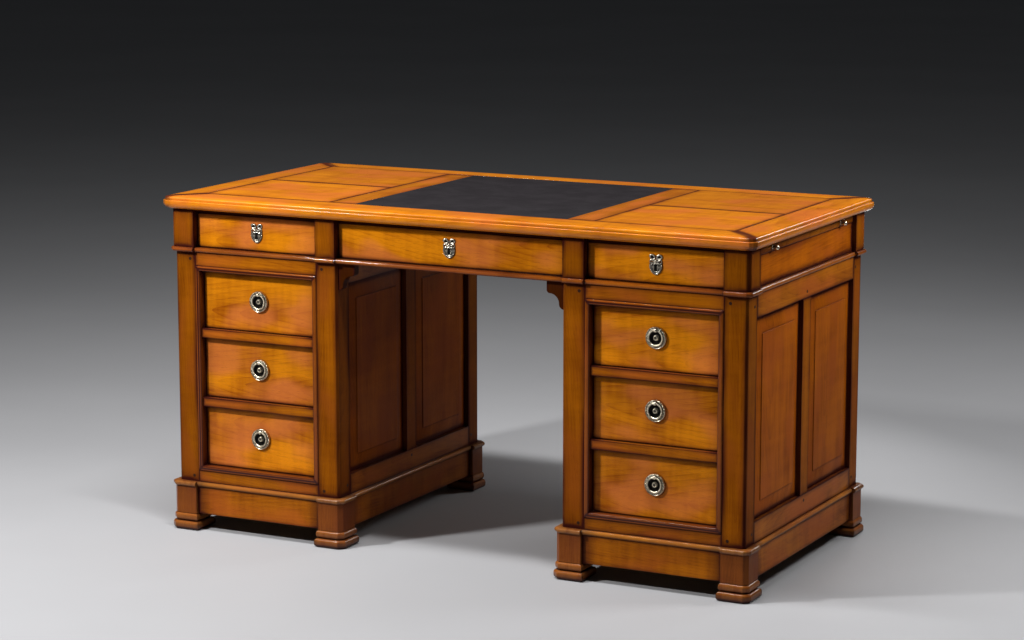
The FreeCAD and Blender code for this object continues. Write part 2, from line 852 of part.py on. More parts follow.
def make_slide(name, sign):
    """A writing slide: a board with a rounded lip, and two small turned knobs."""
    lip_face = POST_X - S.post_cant
    across = on_side(sign, lip_face - S.slide_length, lip_face)
    deep = both(POST_Y - S.corner_post - S.slide_gap)
    level = (SLIDE_BOTTOM, SLIDE_BOTTOM + S.slide_thickness)
    nose = "+x" if sign > 0 else "-x"
    slide = nosed_strip(f"{name}_slide_board", across, deep, level, nose, S.slide_lip_round)
    subpart(f"{name}_writing_slide", [slide])
    profile = [
        (as_size(0), as_size(0)),
        (S.knob_neck, as_size(0)),
        (S.knob_neck, S.knob_waist, cap_radius(S.knob_neck, S.knob_head), True),
        (as_size(0), S.knob_waist + S.knob_head),
    ]
    knobs = []
    for sign_y in (-1, 1):
        at = (sign * lip_face, sign_y * S.knob_spacing / 2, SLIDE_BOTTOM + S.slide_thickness / 2)
        knobs.append(turned(f"{name}_knob_{len(knobs)}", profile, at, (0, 0, 1), -90 * sign))
    subpart(f"{name}_slide_knobs", knobs)


# ---------------------------------------------------------------------------------------------
# The pedestals
# ---------------------------------------------------------------------------------------------


def peg(name, point, axis, sign):
    """A joint's peg, a little proud of the face that it is driven into."""
    start = list(point)
    index = "xy".index(axis)
    start[index] = start[index] - (S.peg_depth if sign > 0 else S.peg_rise)
    return rod(name, start, S.peg_radius, S.peg_depth + S.peg_rise, axis)


def post_pegs(name, side, sign_x, sign_y):
    """The four pegs of one pedestal post: two in its front or back face, two in its side face."""
    faces = {1: FACE_X, -1: KNEE_X}
    stiles = {1: OUTER_STILE_X + S.peg_inset, -1: INNER_STILE_X - S.peg_inset}
    end_rails = (
        S.plinth_height + (S.front_bottom_rail if sign_y < 0 else S.side_bottom_rail) / 2,
        FRIEZE_BOTTOM - (S.front_top_rail if sign_y < 0 else S.side_top_rail) / 2,
    )
    side_rails = (S.plinth_height + S.side_bottom_rail / 2, FRIEZE_BOTTOM - S.side_top_rail / 2)
    pegs = []
    for height in end_rails:
        point = (side * stiles[sign_x], sign_y * FACE_Y, height)
        pegs.append(peg(f"{name}_end_peg_{len(pegs)}", point, "y", sign_y))
    for height in side_rails:
        point = (side * faces[sign_x], sign_y * (STILE_Y + S.peg_inset), height)
        pegs.append(peg(f"{name}_side_peg_{len(pegs)}", point, "x", side * sign_x))
    return pegs


def pedestal_posts(name, side):
    """Four canted posts, drilled for their pegs."""
    posts = []
    pegs = []
    for sign_x, sign_y in CORNERS:
        label = f"{name}_post_{len(posts)}"
        corner_x = FACE_X if sign_x > 0 else KNEE_X
        post = canted_post(
            f"{label}_blank",
            (side * corner_x, sign_y * FACE_Y),
            (-side * sign_x, -sign_y),
            S.stile_width,
            S.stile_depth,
            S.pedestal_cant,
            (S.plinth_height, FRIEZE_BOTTOM),
        )
        own_pegs = post_pegs(label, side, sign_x, sign_y)
        posts.append(cut(label, post, own_pegs))
        pegs += own_pegs
    return posts, pegs


def side_frame(name, side, facing):
    """Two rails and a muntin on one long side of a pedestal. facing is 1 outwards, -1 to the kneehole."""
    face = FACE_X if facing > 0 else KNEE_X
    thick = (face - S.frame_thickness, face) if facing > 0 else (face, face + S.frame_thickness)
    across = on_side(side, *thick)
    deep = both(STILE_Y)
    pieces = []
    pegs = []
    levels = (
        ("bottom", (S.plinth_height, PANEL_BOTTOM), PANEL_BOTTOM - S.peg_inset),
        ("top", (PANEL_TOP, FRIEZE_BOTTOM), PANEL_TOP + S.peg_inset),
    )
    for label, level, peg_height in levels:
        rail = board(f"{name}_{label}_blank", across, deep, level)
        own_peg = peg(f"{name}_{label}_peg", (side * face, as_size(0), peg_height), "x", side * facing)
        pieces.append(cut(f"{name}_{label}_rail", rail, [own_peg]))
        pegs.append(own_peg)
    upright = (PANEL_BOTTOM, PANEL_TOP)
    pieces.append(board(f"{name}_muntin", across, both(S.muntin_width / 2), upright))
    return pieces, pegs


def end_rails(name, side):
    """The rails between the posts at the front and the back, and the rails between the drawers."""
    along = on_side(side, INNER_STILE_X, OUTER_STILE_X)
    front = (-FACE_Y, -FRAME_BACK_Y)
    back = (FRAME_BACK_Y, FACE_Y)
    pieces = [
        board(f"{name}_front_bottom_rail", along, front, (S.plinth_height, SURROUND_BOTTOM)),
        board(f"{name}_front_top_rail", along, front, (SURROUND_TOP, FRIEZE_BOTTOM)),
        board(f"{name}_back_bottom_rail", along, back, (S.plinth_height, PANEL_BOTTOM)),
        board(f"{name}_back_top_rail", along, back, (PANEL_TOP, FRIEZE_BOTTOM)),
    ]
    levels = opening_levels()
    across = about(side * PEDESTAL_X, 2 * OPENING_HALF_WIDTH)
    thick = (-FACE_Y + S.drawer_rail_setback, -FRAME_BACK_Y)
    for (_, under), (over, _) in zip(levels, levels[1:]):
        pieces.append(board(f"{name}_drawer_rail_{len(pieces)}", across, thick, (under, over)))
    return pieces


def raised_panel(name, width, height):
    """A raised and fielded panel. Its frame's face is at y = 0 and the panel lies behind it."""
    back = S.panel_setback + S.panel_border
    border = board(f"{name}_border", (0, width), (S.panel_setback, back), (as_size(0), height))
    bevel = doc.addObject("Part::Wedge", f"{name}_bevel")
    field_face = S.panel_setback - S.panel_rise
    outer = {"Xmin": 0, "Xmax": width, "Zmin": 0, "Zmax": height, "Ymin": 0, "Ymax": S.panel_rise}
    field = {
        "X2min": S.panel_bevel,
        "X2max": width - S.panel_bevel,
        "Z2min": S.panel_bevel,
        "Z2max": height - S.panel_bevel,
    }
    for path, size in {**outer, **field}.items():
        bind(bevel, path, size)
    turn(bevel, (1, 0, 0), 180)
    place(bevel, 0, S.panel_setback, height)
    raised = board(
        f"{name}_field",
        (S.panel_bevel, width - S.panel_bevel),
        (field_face - S.panel_step, field_face),
        (S.panel_bevel, height - S.panel_bevel),
    )
    return fused(name, [border, bevel, raised])


def pedestal_panels(name, side):
    """Two raised panels in each long side and one in the back."""
    deep = STILE_Y - S.muntin_width / 2
    height = PANEL_TOP - PANEL_BOTTOM
    pieces = []
    for facing, face in ((1, FACE_X), (-1, KNEE_X)):
        for start in (-STILE_Y, S.muntin_width / 2):
            panel = raised_panel(f"{name}_panel_{len(pieces)}", deep, height)
            if side * facing > 0:
                turn(panel, (0, 0, 1), 90)
                place(panel, side * face, start, PANEL_BOTTOM)
            else:
                turn(panel, (0, 0, 1), -90)
                place(panel, side * face, start + deep, PANEL_BOTTOM)
            pieces.append(panel)
    width = OUTER_STILE_X - INNER_STILE_X
    back = raised_panel(f"{name}_back_panel", width, height)
    turn(back, (0, 0, 1), 180)
    place(back, side * PEDESTAL_X + width / 2, FACE_Y, PANEL_BOTTOM)
    return pieces + [back]


def make_pedestal(name, side):
    """One pedestal's frame as a node, and its panels and pegs for the nodes that share them."""
    posts, pegs = pedestal_posts(name, side)
    outer, outer_pegs = side_frame(f"{name}_outer", side, 1)
    inner, inner_pegs = side_frame(f"{name}_knee", side, -1)
    subpart(f"{name}_pedestal_frame", posts + outer + inner + end_rails(name, side))
    return pedestal_panels(name, side), pegs + outer_pegs + inner_pegs


def drawer_surround(name, side):
    """The moulded lining of a pedestal's drawer openings, with a rounded front."""
    half_width = OPENING_HALF_WIDTH + S.surround_width
    height = SURROUND_TOP - SURROUND_BOTTOM
    low = S.surround_width
    inside = [
        (low, low),
        (2 * half_width - low, low),
        (2 * half_width - low, height - low),
        (low, height - low),
    ]
    depth = S.frame_thickness + S.surround_rise
    corner = (side * PEDESTAL_X - half_width, -FRAME_BACK_Y, SURROUND_BOTTOM)
    outlines = [rectangle(2 * half_width, height), inside]
    surround = slab(name, outlines, depth, corner, plane="XZ_Plane")
    return round_edges(
        surround, S.surround_round, lambda edge, middle: abs(middle.y + depth.value) < NEAR
    )


def make_surrounds():
    """The moulded linings of both pedestals."""
    subpart("drawer_surrounds", [drawer_surround(f"{name}_surround", side) for name, side in SIDES.items()])


def drawer_runner(name, side, inward, top):
    """An L-shaped runner fixed to a pair of posts: the drawer rides on its foot, beside its guide."""
    edge = INNER_STILE_X if inward > 0 else OUTER_STILE_X
    sign = side * inward
    foot = sign * S.drawer_runner_width
    guide = sign * S.surround_width
    profile = [
        (as_size(0), as_size(0)),
        (foot, as_size(0)),
        (foot, S.drawer_runner_height),
        (guide, S.drawer_runner_height),
        (guide, S.drawer_runner_height + S.drawer_guide_height),
        (as_size(0), S.drawer_runner_height + S.drawer_guide_height),
    ]
    at = (side * edge, FRAME_BACK_Y, top - S.drawer_runner_height)
    return slab(name, [profile], 2 * FRAME_BACK_Y, at, plane="XZ_Plane")


def make_runners():
    """Two runners for each pedestal drawer."""
    pieces = []
    for name, side in SIDES.items():
        for low, _ in opening_levels():
            for inward in (1, -1):
                pieces.append(drawer_runner(f"{name}_runner_{len(pieces)}", side, inward, low))
    subpart("drawer_runners", pieces)


def make_floors():
    """The board that closes each pedestal at the bottom."""
    level = (S.plinth_height, S.plinth_height + S.floor_thickness)
    pieces = []
    for name, side in SIDES.items():
        along = on_side(side, INNER_STILE_X, OUTER_STILE_X)
        pieces.append(board(f"{name}_floor", along, both(FRAME_BACK_Y), level))
    subpart("pedestal_floors", pieces)


def bracket_outline():
    """An ogee bracket: a drop, a round nose, a cove and a round toe, down to the stile's face."""
    nose, cove, toe = S.bracket_nose, S.bracket_cove, S.bracket_toe
    width = nose + cove + toe
    drop = S.bracket_drop
    return [
        (as_size(0), as_size(0)),
        (-width, as_size(0)),
        (-width, -drop, nose, True),
        (-width + nose, -drop - nose, cove, False),
        (-toe, -drop - nose - cove, toe, True),
        (as_size(0), -drop - nose - cove - toe),
    ]


def make_brackets():
    """Brackets under the frieze in the corners of the kneehole, at the front and at the back."""
    pieces = []
    setback = S.pedestal_cant + S.bracket_setback
    for name, side in SIDES.items():
        outline = bracket_outline()
        if side < 0:
            outline = mirrored_outline(outline)
        for y in (-FACE_Y + setback + S.bracket_thickness, FACE_Y - setback):
            at = (side * KNEE_X, y, FRIEZE_BOTTOM)
            label = f"{name}_bracket_{len(pieces)}"
            pieces.append(slab(label, [outline], S.bracket_thickness, at, plane="XZ_Plane"))
    subpart("kneehole_brackets", pieces)


def mirrored_outline(corners):
    """An outline's mirror image in x, walked backwards so that its arcs keep their turns."""
    turned = []
    for index, corner in enumerate(corners):
        before = corners[index - 1]
        turned.append((-corner[0], corner[1]) + tuple(before[2:]))
    return turned[::-1]


# ---------------------------------------------------------------------------------------------
# The plinths
# ---------------------------------------------------------------------------------------------


def plinth_corners(side):
    """The outer corner of each plinth block of one pedestal, with the signs that lead inwards."""
    for sign_x, sign_y in CORNERS:
        corner_x = PLINTH_X if sign_x > 0 else PLINTH_KNEE_X
        yield side * corner_x, sign_y * PLINTH_Y, (-side * sign_x, -sign_y), side * sign_x, sign_y


def plinth_course(name, corner, reach, inner_reach, level):
    """One course of a plinth block. It reaches past the block's outer and inner faces as asked."""
    x, y, inward, out_x, out_y = corner
    width = S.block_width + reach + inner_reach
    start = (x + out_x * reach, y + out_y * reach)
    cant = S.block_cant + reach * CANT_RATIO
    return canted_post(name, start, inward, width, width, cant, level), width


def plinth_block(name, corner):
    """A canted block with a bead collar above it and two rounded foot mouldings below."""
    middle, _ = plinth_course(f"{name}_middle", corner, 0, 0, (S.foot_height, PLINTH_BEAD))
    collar, width = plinth_course(
        f"{name}_collar", corner, BEAD_RADIUS, 0, (PLINTH_BEAD, S.plinth_height)
    )
    round_outer_edges(collar, BEAD_ROUND, corner[2], width)
    courses = [middle, collar]
    feet = (
        ("upper", S.upper_foot_reach, (S.lower_foot, S.foot_height)),
        ("lower", S.lower_foot_reach, (as_size(0), S.lower_foot)),
    )
    for label, reach, level in feet:
        foot, _ = plinth_course(f"{name}_{label}_foot", corner, reach, reach, level)
        courses.append(round_edges(foot, S.foot_round, lambda edge, middle: is_level(edge)))
    return fused(name, courses)


def make_plinth_blocks():
    """A block under each post of both pedestals."""
    corners = [corner for side in SIDES.values() for corner in plinth_corners(side)]
    blocks = [plinth_block(f"plinth_block_{index}", corner) for index, corner in enumerate(corners)]
    subpart("plinth_blocks", blocks)


def plinth_run(name, x, y, nose):
    """A plinth board with the nosed bead above it, nose outwards."""
    axis = 0 if nose[1] == "x" else 1
    reach = [x, y]
    low, high = reach[axis]
    reach[axis] = (low - BEAD_RADIUS, high) if nose[0] == "-" else (low, high + BEAD_RADIUS)
    level = (PLINTH_BEAD, S.plinth_height)
    return [
        board(f"{name}_board", x, y, (S.foot_height, PLINTH_BEAD)),
        nosed_strip(f"{name}_bead", reach[0], reach[1], level, nose, BEAD_ROUND),
    ]


def make_plinth_boards():
    """The boards between the plinth blocks, set back from them, with their beads."""
    pieces = []
    for name, side in SIDES.items():
        along = on_side(side, PLINTH_KNEE_X + S.block_width, PLINTH_X - S.block_width)
        deep = both(BLOCK_INNER_Y)
        outer_y = PLINTH_Y - S.board_setback
        for sign_y, nose in ((-1, "-y"), (1, "+y")):
            thick = on_side(sign_y, outer_y - S.plinth_board, outer_y)
            pieces += plinth_run(f"{name}_plinth_{nose[1]}{sign_y + 1}", along, thick, nose)
        outer = PLINTH_X - S.board_setback
        knee = PLINTH_KNEE_X + S.board_setback
        runs = (
            ("outer", (outer - S.plinth_board, outer), side),
            ("knee", (knee, knee + S.plinth_board), -side),
        )
        for label, (low, high), facing in runs:
            nose = "+x" if facing > 0 else "-x"
            pieces += plinth_run(f"{name}_plinth_{label}", on_side(side, low, high), deep, nose)
    subpart("plinth_boards", pieces)


# ---------------------------------------------------------------------------------------------
# Drawers and hardware
# ---------------------------------------------------------------------------------------------


def make_box(label, centre, width, low, height, front_back):
    """A drawer's box behind its front: two sides, a back and a bottom held between them."""
    left, right = about(centre, width - 2 * S.drawer_gap)
    deep = (front_back, BOX_BACK_Y)
    level = (low, low + height)
    between = (left + S.box_side, right - S.box_side)
    back_start = deep[1] - S.box_side
    bottom_level = (low + S.box_bottom_lift, low + S.box_bottom_lift + S.box_bottom)
    subpart(
        f"{label}_drawer_box",
        [
            board(f"{label}_left_side", (left, between[0]), deep, level),
            board(f"{label}_right_side", (between[1], right), deep, level),
            board(f"{label}_back", between, (back_start, deep[1]), level),
            board(f"{label}_bottom", between, (deep[0], back_start), bottom_level),
        ],
    )


def make_pull(label, x, z):
    """A rosette with an eye at its top, and the ring that hangs through the eye."""
    wall = S.rosette_plate + S.boss_wall
    rim = 2 * S.rosette_rim * ROUND_RATIO
    profile = [
        (as_size(0), as_size(0)),
        (S.rosette_radius, as_size(0)),
        (S.rosette_radius, S.rosette_plate, S.rosette_rim, True),
        (S.rosette_radius - rim, S.rosette_plate),
        (S.boss_radius, S.rosette_plate),
        (S.boss_radius, wall, cap_radius(S.boss_radius, S.boss_dome), True),
        (as_size(0), wall + S.boss_dome),
    ]
    plate = turned(f"{label}_rosette_plate", profile, (x, DRAWER_FRONT_Y, z), (0, 0, 1), 180)
    eye_y = DRAWER_FRONT_Y - S.ring_stand
    eye_z = z + S.ring_radius
    stem = rod(f"{label}_eye_stem", (x, eye_y, eye_z), S.eye_radius / 2, S.ring_stand, "y")
    head = ball(f"{label}_eye_head", (x, eye_y, eye_z), S.eye_radius)
    bore_start = (x - S.eye_radius - PAST, eye_y, eye_z)
    bore_length = 2 * (S.eye_radius + PAST)
    bore = rod(f"{label}_eye_bore", bore_start, S.ring_wire + S.ring_play, bore_length, "x")
    eye = cut(f"{label}_eye", fused(f"{label}_eye_blank", [stem, head]), [bore])
    subpart(f"{label}_rosette", [fused(f"{label}_rosette_solid", [plate, eye])])
    ring = hoop(f"{label}_ring_wire", (x, eye_y, z), S.ring_radius, S.ring_wire)
    subpart(f"{label}_ring", [ring])


def make_pedestal_drawers():
    """Three drawers in each pedestal, each with a ring pull."""
    for name, side in SIDES.items():
        for level_name, (low, high) in zip(PEDESTAL_LEVELS, opening_levels()):
            label = f"{name}_{level_name}"
            centre = side * PEDESTAL_X
            width = 2 * OPENING_HALF_WIDTH
            front_back = DRAWER_FRONT_Y + S.front_thickness
            front = board(
                f"{label}_front_board",
                about(centre, width - 2 * S.drawer_gap),
                (DRAWER_FRONT_Y, front_back),
                (low + S.drawer_gap, high - S.drawer_gap),
            )
            subpart(f"{label}_drawer_front", [front])
            make_box(label, centre, width, low, high - low - S.box_headroom, front_back)
            make_pull(label, centre, (low + high) / 2 + S.pull_lift)


def keyhole(name, x, y, z):
    """A keyhole's tool: a round hole over a slot, along Y."""
    length = y[1] - y[0]
    hole = rod(f"{name}_hole", (x, y[0], z), S.keyhole_radius, length, "y")
    slot = board(f"{name}_slot", about(x, S.keyhole_slot), y, (z - S.keyhole_length, z))
    return fused(name, [hole, slot])


def make_escutcheon(label, x, z):
    """A keyhole plate: a shield with a ribbon bow tied above it. z is its keyhole's height."""
    half = S.escutcheon_width / 2
    foot = S.escutcheon_foot
    straight = S.escutcheon_height - half - foot
    shield = [
        (-foot, as_size(0), foot * HALF_TURN_RATIO, True),
        (foot, as_size(0)),
        (half, straight, half * HALF_TURN_RATIO, True),
        (-half, straight),
    ]
    top = z - S.escutcheon_drop + S.escutcheon_height / 2
    at = (x, FRIEZE_FRONT_Y, top - half - straight)
    plate = slab(f"{label}_shield", [shield], S.escutcheon_plate, at, plane="XZ_Plane")
    bow_z = top + S.bow_lift
    face = FRIEZE_FRONT_Y - S.bow_thickness
    past = (face - PAST, FRIEZE_FRONT_Y + PAST)
    knot_level = (top - S.bow_wire, bow_z + S.bow_wire)
    knot_width = 2 * (S.bow_spread - S.bow_radius)
    raised = [plate, board(f"{label}_knot", about(x, knot_width), (face, FRIEZE_FRONT_Y), knot_level)]
    holes = [keyhole(f"{label}_plate_keyhole", x, past, z)]
    for name, sign in SIDES.items():
        loop_x = x + sign * S.bow_spread
        outer = S.bow_radius + S.bow_wire
        inner = S.bow_radius - S.bow_wire
        loop = rod(f"{label}_bow_{name}", (loop_x, face, bow_z), outer, S.bow_thickness, "y")
        raised.append(loop)
        holes.append(
            rod(f"{label}_bow_{name}_hole", (loop_x, past[0], bow_z), inner, past[1] - past[0], "y")
        )
    blank = fused(f"{label}_escutcheon_blank", raised)
    subpart(f"{label}_escutcheon", [cut(f"{label}_escutcheon_solid", blank, holes)])


def make_lock(label, x, key_z):
    """A mortised lock behind a frieze drawer's front, with the bolt that rises from it."""
    back = FRIEZE_FRONT_Y + S.front_thickness
    top = TOP_RAIL_UNDERSIDE - S.drawer_gap
    middle = back - S.lock_depth / 2
    bolt_level = (top - S.drawer_gap - S.bolt_length, top - S.drawer_gap)
    bolt = board(
        f"{label}_bolt_bar",
        about(x, S.bolt_width),
        about(middle, S.bolt_thickness),
        bolt_level,
    )
    slot = board(
        f"{label}_bolt_slot",
        about(x, S.bolt_width + 2 * S.bolt_play),
        about(middle, S.bolt_thickness + 2 * S.bolt_play),
        (bolt_level[0], top + PAST),
    )
    case_reach = (back - S.lock_depth, back)
    case = board(
        f"{label}_lock_body",
        about(x, S.lock_width),
        case_reach,
        (top - S.lock_height, top),
    )
    hole = keyhole(f"{label}_lock_keyhole", x, (case_reach[0] - PAST, middle), key_z)
    subpart(f"{label}_lock_case", [cut(f"{label}_lock_solid", case, [slot, hole])])
    subpart(f"{label}_lock_bolt", [bolt])


def make_frieze_drawers():
    """Three drawers in the frieze, each with a keyhole plate and a lock instead of a pull."""
    back = FRIEZE_FRONT_Y + S.front_thickness
    top = TOP_RAIL_UNDERSIDE - S.drawer_gap
    key_z = (BEAD_TOP + TOP_RAIL_UNDERSIDE) / 2
    for name, centre, width in frieze_openings():
        label = f"frieze_{name}"
        front = board(
            f"{label}_front_board",
            about(centre, width - 2 * S.drawer_gap),
            (FRIEZE_FRONT_Y, back),
            (BEAD_TOP + S.drawer_gap, top),
        )
        mortise = board(
            f"{label}_lock_mortise",
            about(centre, S.lock_width),
            (back - S.lock_depth, back + PAST),
            (top - S.lock_height, top + PAST),
        )
        through = (FRIEZE_FRONT_Y - PAST, back - S.lock_depth + PAST)
        hole = keyhole(f"{label}_front_keyhole", centre, through, key_z)
        subpart(f"{label}_drawer_front", [cut(f"{label}_front_solid", front, [mortise, hole])])
        make_box(label, centre, width, BEAD_TOP, S.frieze_box_height, back)
        make_escutcheon(label, centre, key_z)
        make_lock(label, centre, key_z)


# ---------------------------------------------------------------------------------------------
# The whole desk
# ---------------------------------------------------------------------------------------------


def check_document():
    """Stop if any object failed or any sub-part has no valid solid."""
    for piece in doc.Objects:
        if "Invalid" in piece.State or "Error" in piece.State:
            raise RuntimeError(f"{piece.Name} failed: {piece.State}")
    for label, piece in subparts.items():
        if piece.Shape.isNull() or not piece.Shape.isValid() or not piece.Shape.Solids:
            raise RuntimeError(f"{label} has no valid solid")


def write_steps():
    """Write each sub-part's shape under its own name."""
    os.makedirs("parts", exist_ok=True)
    for label, piece in subparts.items():
        piece.Shape.exportStep(f"parts/{label}.step")


def build():
    """Make every sub-part of the desk."""
    make_top_frame()
    make_top_boards()
    make_frieze_posts()
    make_frieze_bead()
    make_frieze_frame()
    make_frieze_panels()
    panels = []
    pegs = []
    for name, side in SIDES.items():
        make_slide(name, side)
        own_panels, own_pegs = make_pedestal(name, side)
        panels += own_panels
        pegs += own_pegs
    subpart("pedestal_panels", panels)
    subpart("dowel_pegs", pegs)
    make_surrounds()
    make_runners()
    make_floors()
    make_brackets()
    make_plinth_blocks()
    make_plinth_boards()
    make_pedestal_drawers()
    make_frieze_drawers()
    doc.recompute()


build()
check_document()
write_steps()
print(f"{len(subparts)} sub-parts written")
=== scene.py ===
"""The partners desk as it looks: cherry joinery, black leather and aged silver fittings.

Every sub-assembly is a class that shapes its own pieces around the fixed frame and dresses them.
Lengths are in metres unless a name or comment says otherwise.
"""

import json
import logging
import math
import random
from dataclasses import dataclass, field, replace
from enum import Enum
from typing import Any, Callable, Iterable, Mapping, Optional, Sequence, Union

import bmesh
import bpy
from bmesh.types import BMesh, BMFace
from bpy.types import Material, Mesh, Node, NodeSocket, Object
from mathutils import Matrix, Vector

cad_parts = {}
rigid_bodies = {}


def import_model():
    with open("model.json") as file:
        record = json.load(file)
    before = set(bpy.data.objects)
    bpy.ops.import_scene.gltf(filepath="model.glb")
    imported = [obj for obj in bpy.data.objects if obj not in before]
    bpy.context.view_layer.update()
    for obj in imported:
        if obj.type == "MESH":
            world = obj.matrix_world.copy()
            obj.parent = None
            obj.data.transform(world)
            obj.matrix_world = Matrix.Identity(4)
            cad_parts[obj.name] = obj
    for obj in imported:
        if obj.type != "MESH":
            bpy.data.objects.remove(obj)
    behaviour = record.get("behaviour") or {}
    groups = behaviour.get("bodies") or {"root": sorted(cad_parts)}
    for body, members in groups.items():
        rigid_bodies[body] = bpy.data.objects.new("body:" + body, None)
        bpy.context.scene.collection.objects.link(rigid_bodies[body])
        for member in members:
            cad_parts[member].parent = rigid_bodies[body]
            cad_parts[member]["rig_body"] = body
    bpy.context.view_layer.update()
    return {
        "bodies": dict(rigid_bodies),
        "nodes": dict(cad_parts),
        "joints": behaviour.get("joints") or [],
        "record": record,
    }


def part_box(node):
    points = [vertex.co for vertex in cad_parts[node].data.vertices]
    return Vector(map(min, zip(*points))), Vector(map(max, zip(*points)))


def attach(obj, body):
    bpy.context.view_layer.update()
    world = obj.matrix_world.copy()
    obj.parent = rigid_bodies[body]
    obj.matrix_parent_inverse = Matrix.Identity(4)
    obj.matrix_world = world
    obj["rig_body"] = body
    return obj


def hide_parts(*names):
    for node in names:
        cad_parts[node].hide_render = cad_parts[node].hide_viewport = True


log = logging.getLogger("partners_desk")

Triple = tuple[float, float, float]
Colour = Triple
Point = tuple[float, float]
Span = tuple[float, float]
# How strongly something shows at a place, from 0 to 1.
Shade = Callable[[Vector], float]
MM = 0.001

# Points of a carried mesh that lie closer than this are one point.
MERGE_DISTANCE = 2e-6
# Neighbouring faces of a carried mesh that turn less than this are one flat face.
FLAT_ANGLE = math.radians(0.3)
# An edge that turns more than this is an arris, which is eased and shaded as a hard edge.
ARRIS_ANGLE = math.radians(33)
# Points of a new piece that lie closer than this are one point.
WELD_DISTANCE = 1e-7
# An edge of a new piece that turns more than this is shaded as a hard edge.
HARD_ANGLE = math.radians(42)
# How much more a large face counts in the shading than a small one; 50 would be no more.
LARGE_FACE_WEIGHT = 100
# A mitred rail whose outer corner is canted ends at most this far short of the whole ring.
CORNER_SLACK = 10 * MM
# Upright, facing forwards: local X to the right, local Y upwards, local Z out of the front.
FACING_FRONT = Matrix(((1, 0, 0, 0), (0, 0, -1, 0), (0, 1, 0, 0), (0, 0, 0, 1)))

SIDES = ("left", "right")
LEVELS = ("lower", "middle", "upper")
FRIEZE_PLACES = ("left", "centre", "right")


# ---- Writing materials as sums ----


def written_as(operation: str, is_reflected: bool = False) -> Callable[..., "Term"]:
    """The method of a Term that stands for a sign in a sum.

    Args:
        operation: The Math node's operation.
        is_reflected: Whether the term comes after the sign and a plain number before it.

    Returns:
        The method.
    """

    def apply(term: "Term", *others: "Operand") -> "Term":
        """Apply the operation to the term and the others."""
        operands = (*others, term) if is_reflected else (term, *others)
        return term.recipe.math(operation, *operands)

    return apply


class Term:
    """One output of a material's node tree that can stand in a sum."""

    def __init__(self, recipe: "Recipe", socket: NodeSocket) -> None:
        """Wrap a socket of the given recipe."""
        self.recipe = recipe
        self.socket = socket

    def math(self, operation: str, *others: "Operand") -> "Term":
        """Apply a Math node's operation to this term and the others."""
        return self.recipe.math(operation, self, *others)

    __add__ = written_as("ADD")
    __radd__ = written_as("ADD", is_reflected=True)
    __sub__ = written_as("SUBTRACT")
    __rsub__ = written_as("SUBTRACT", is_reflected=True)
    __mul__ = written_as("MULTIPLY")
    __truediv__ = written_as("DIVIDE")
    __pow__ = written_as("POWER")
    __abs__ = written_as("ABSOLUTE")

    def smooth(self, low: float, high: float) -> "Term":
        """Ease from 0 at low to 1 at high.

        Args:
            low: The value that gives 0.
            high: The value that gives 1.

        Returns:
            The eased term.
        """
        return self.recipe.term(
            "ShaderNodeMapRange",
            {"interpolation_type": "SMOOTHSTEP"},
            {"Value": self, "From Min": low, "From Max": high},
        )


Operand = Union[Term, float]


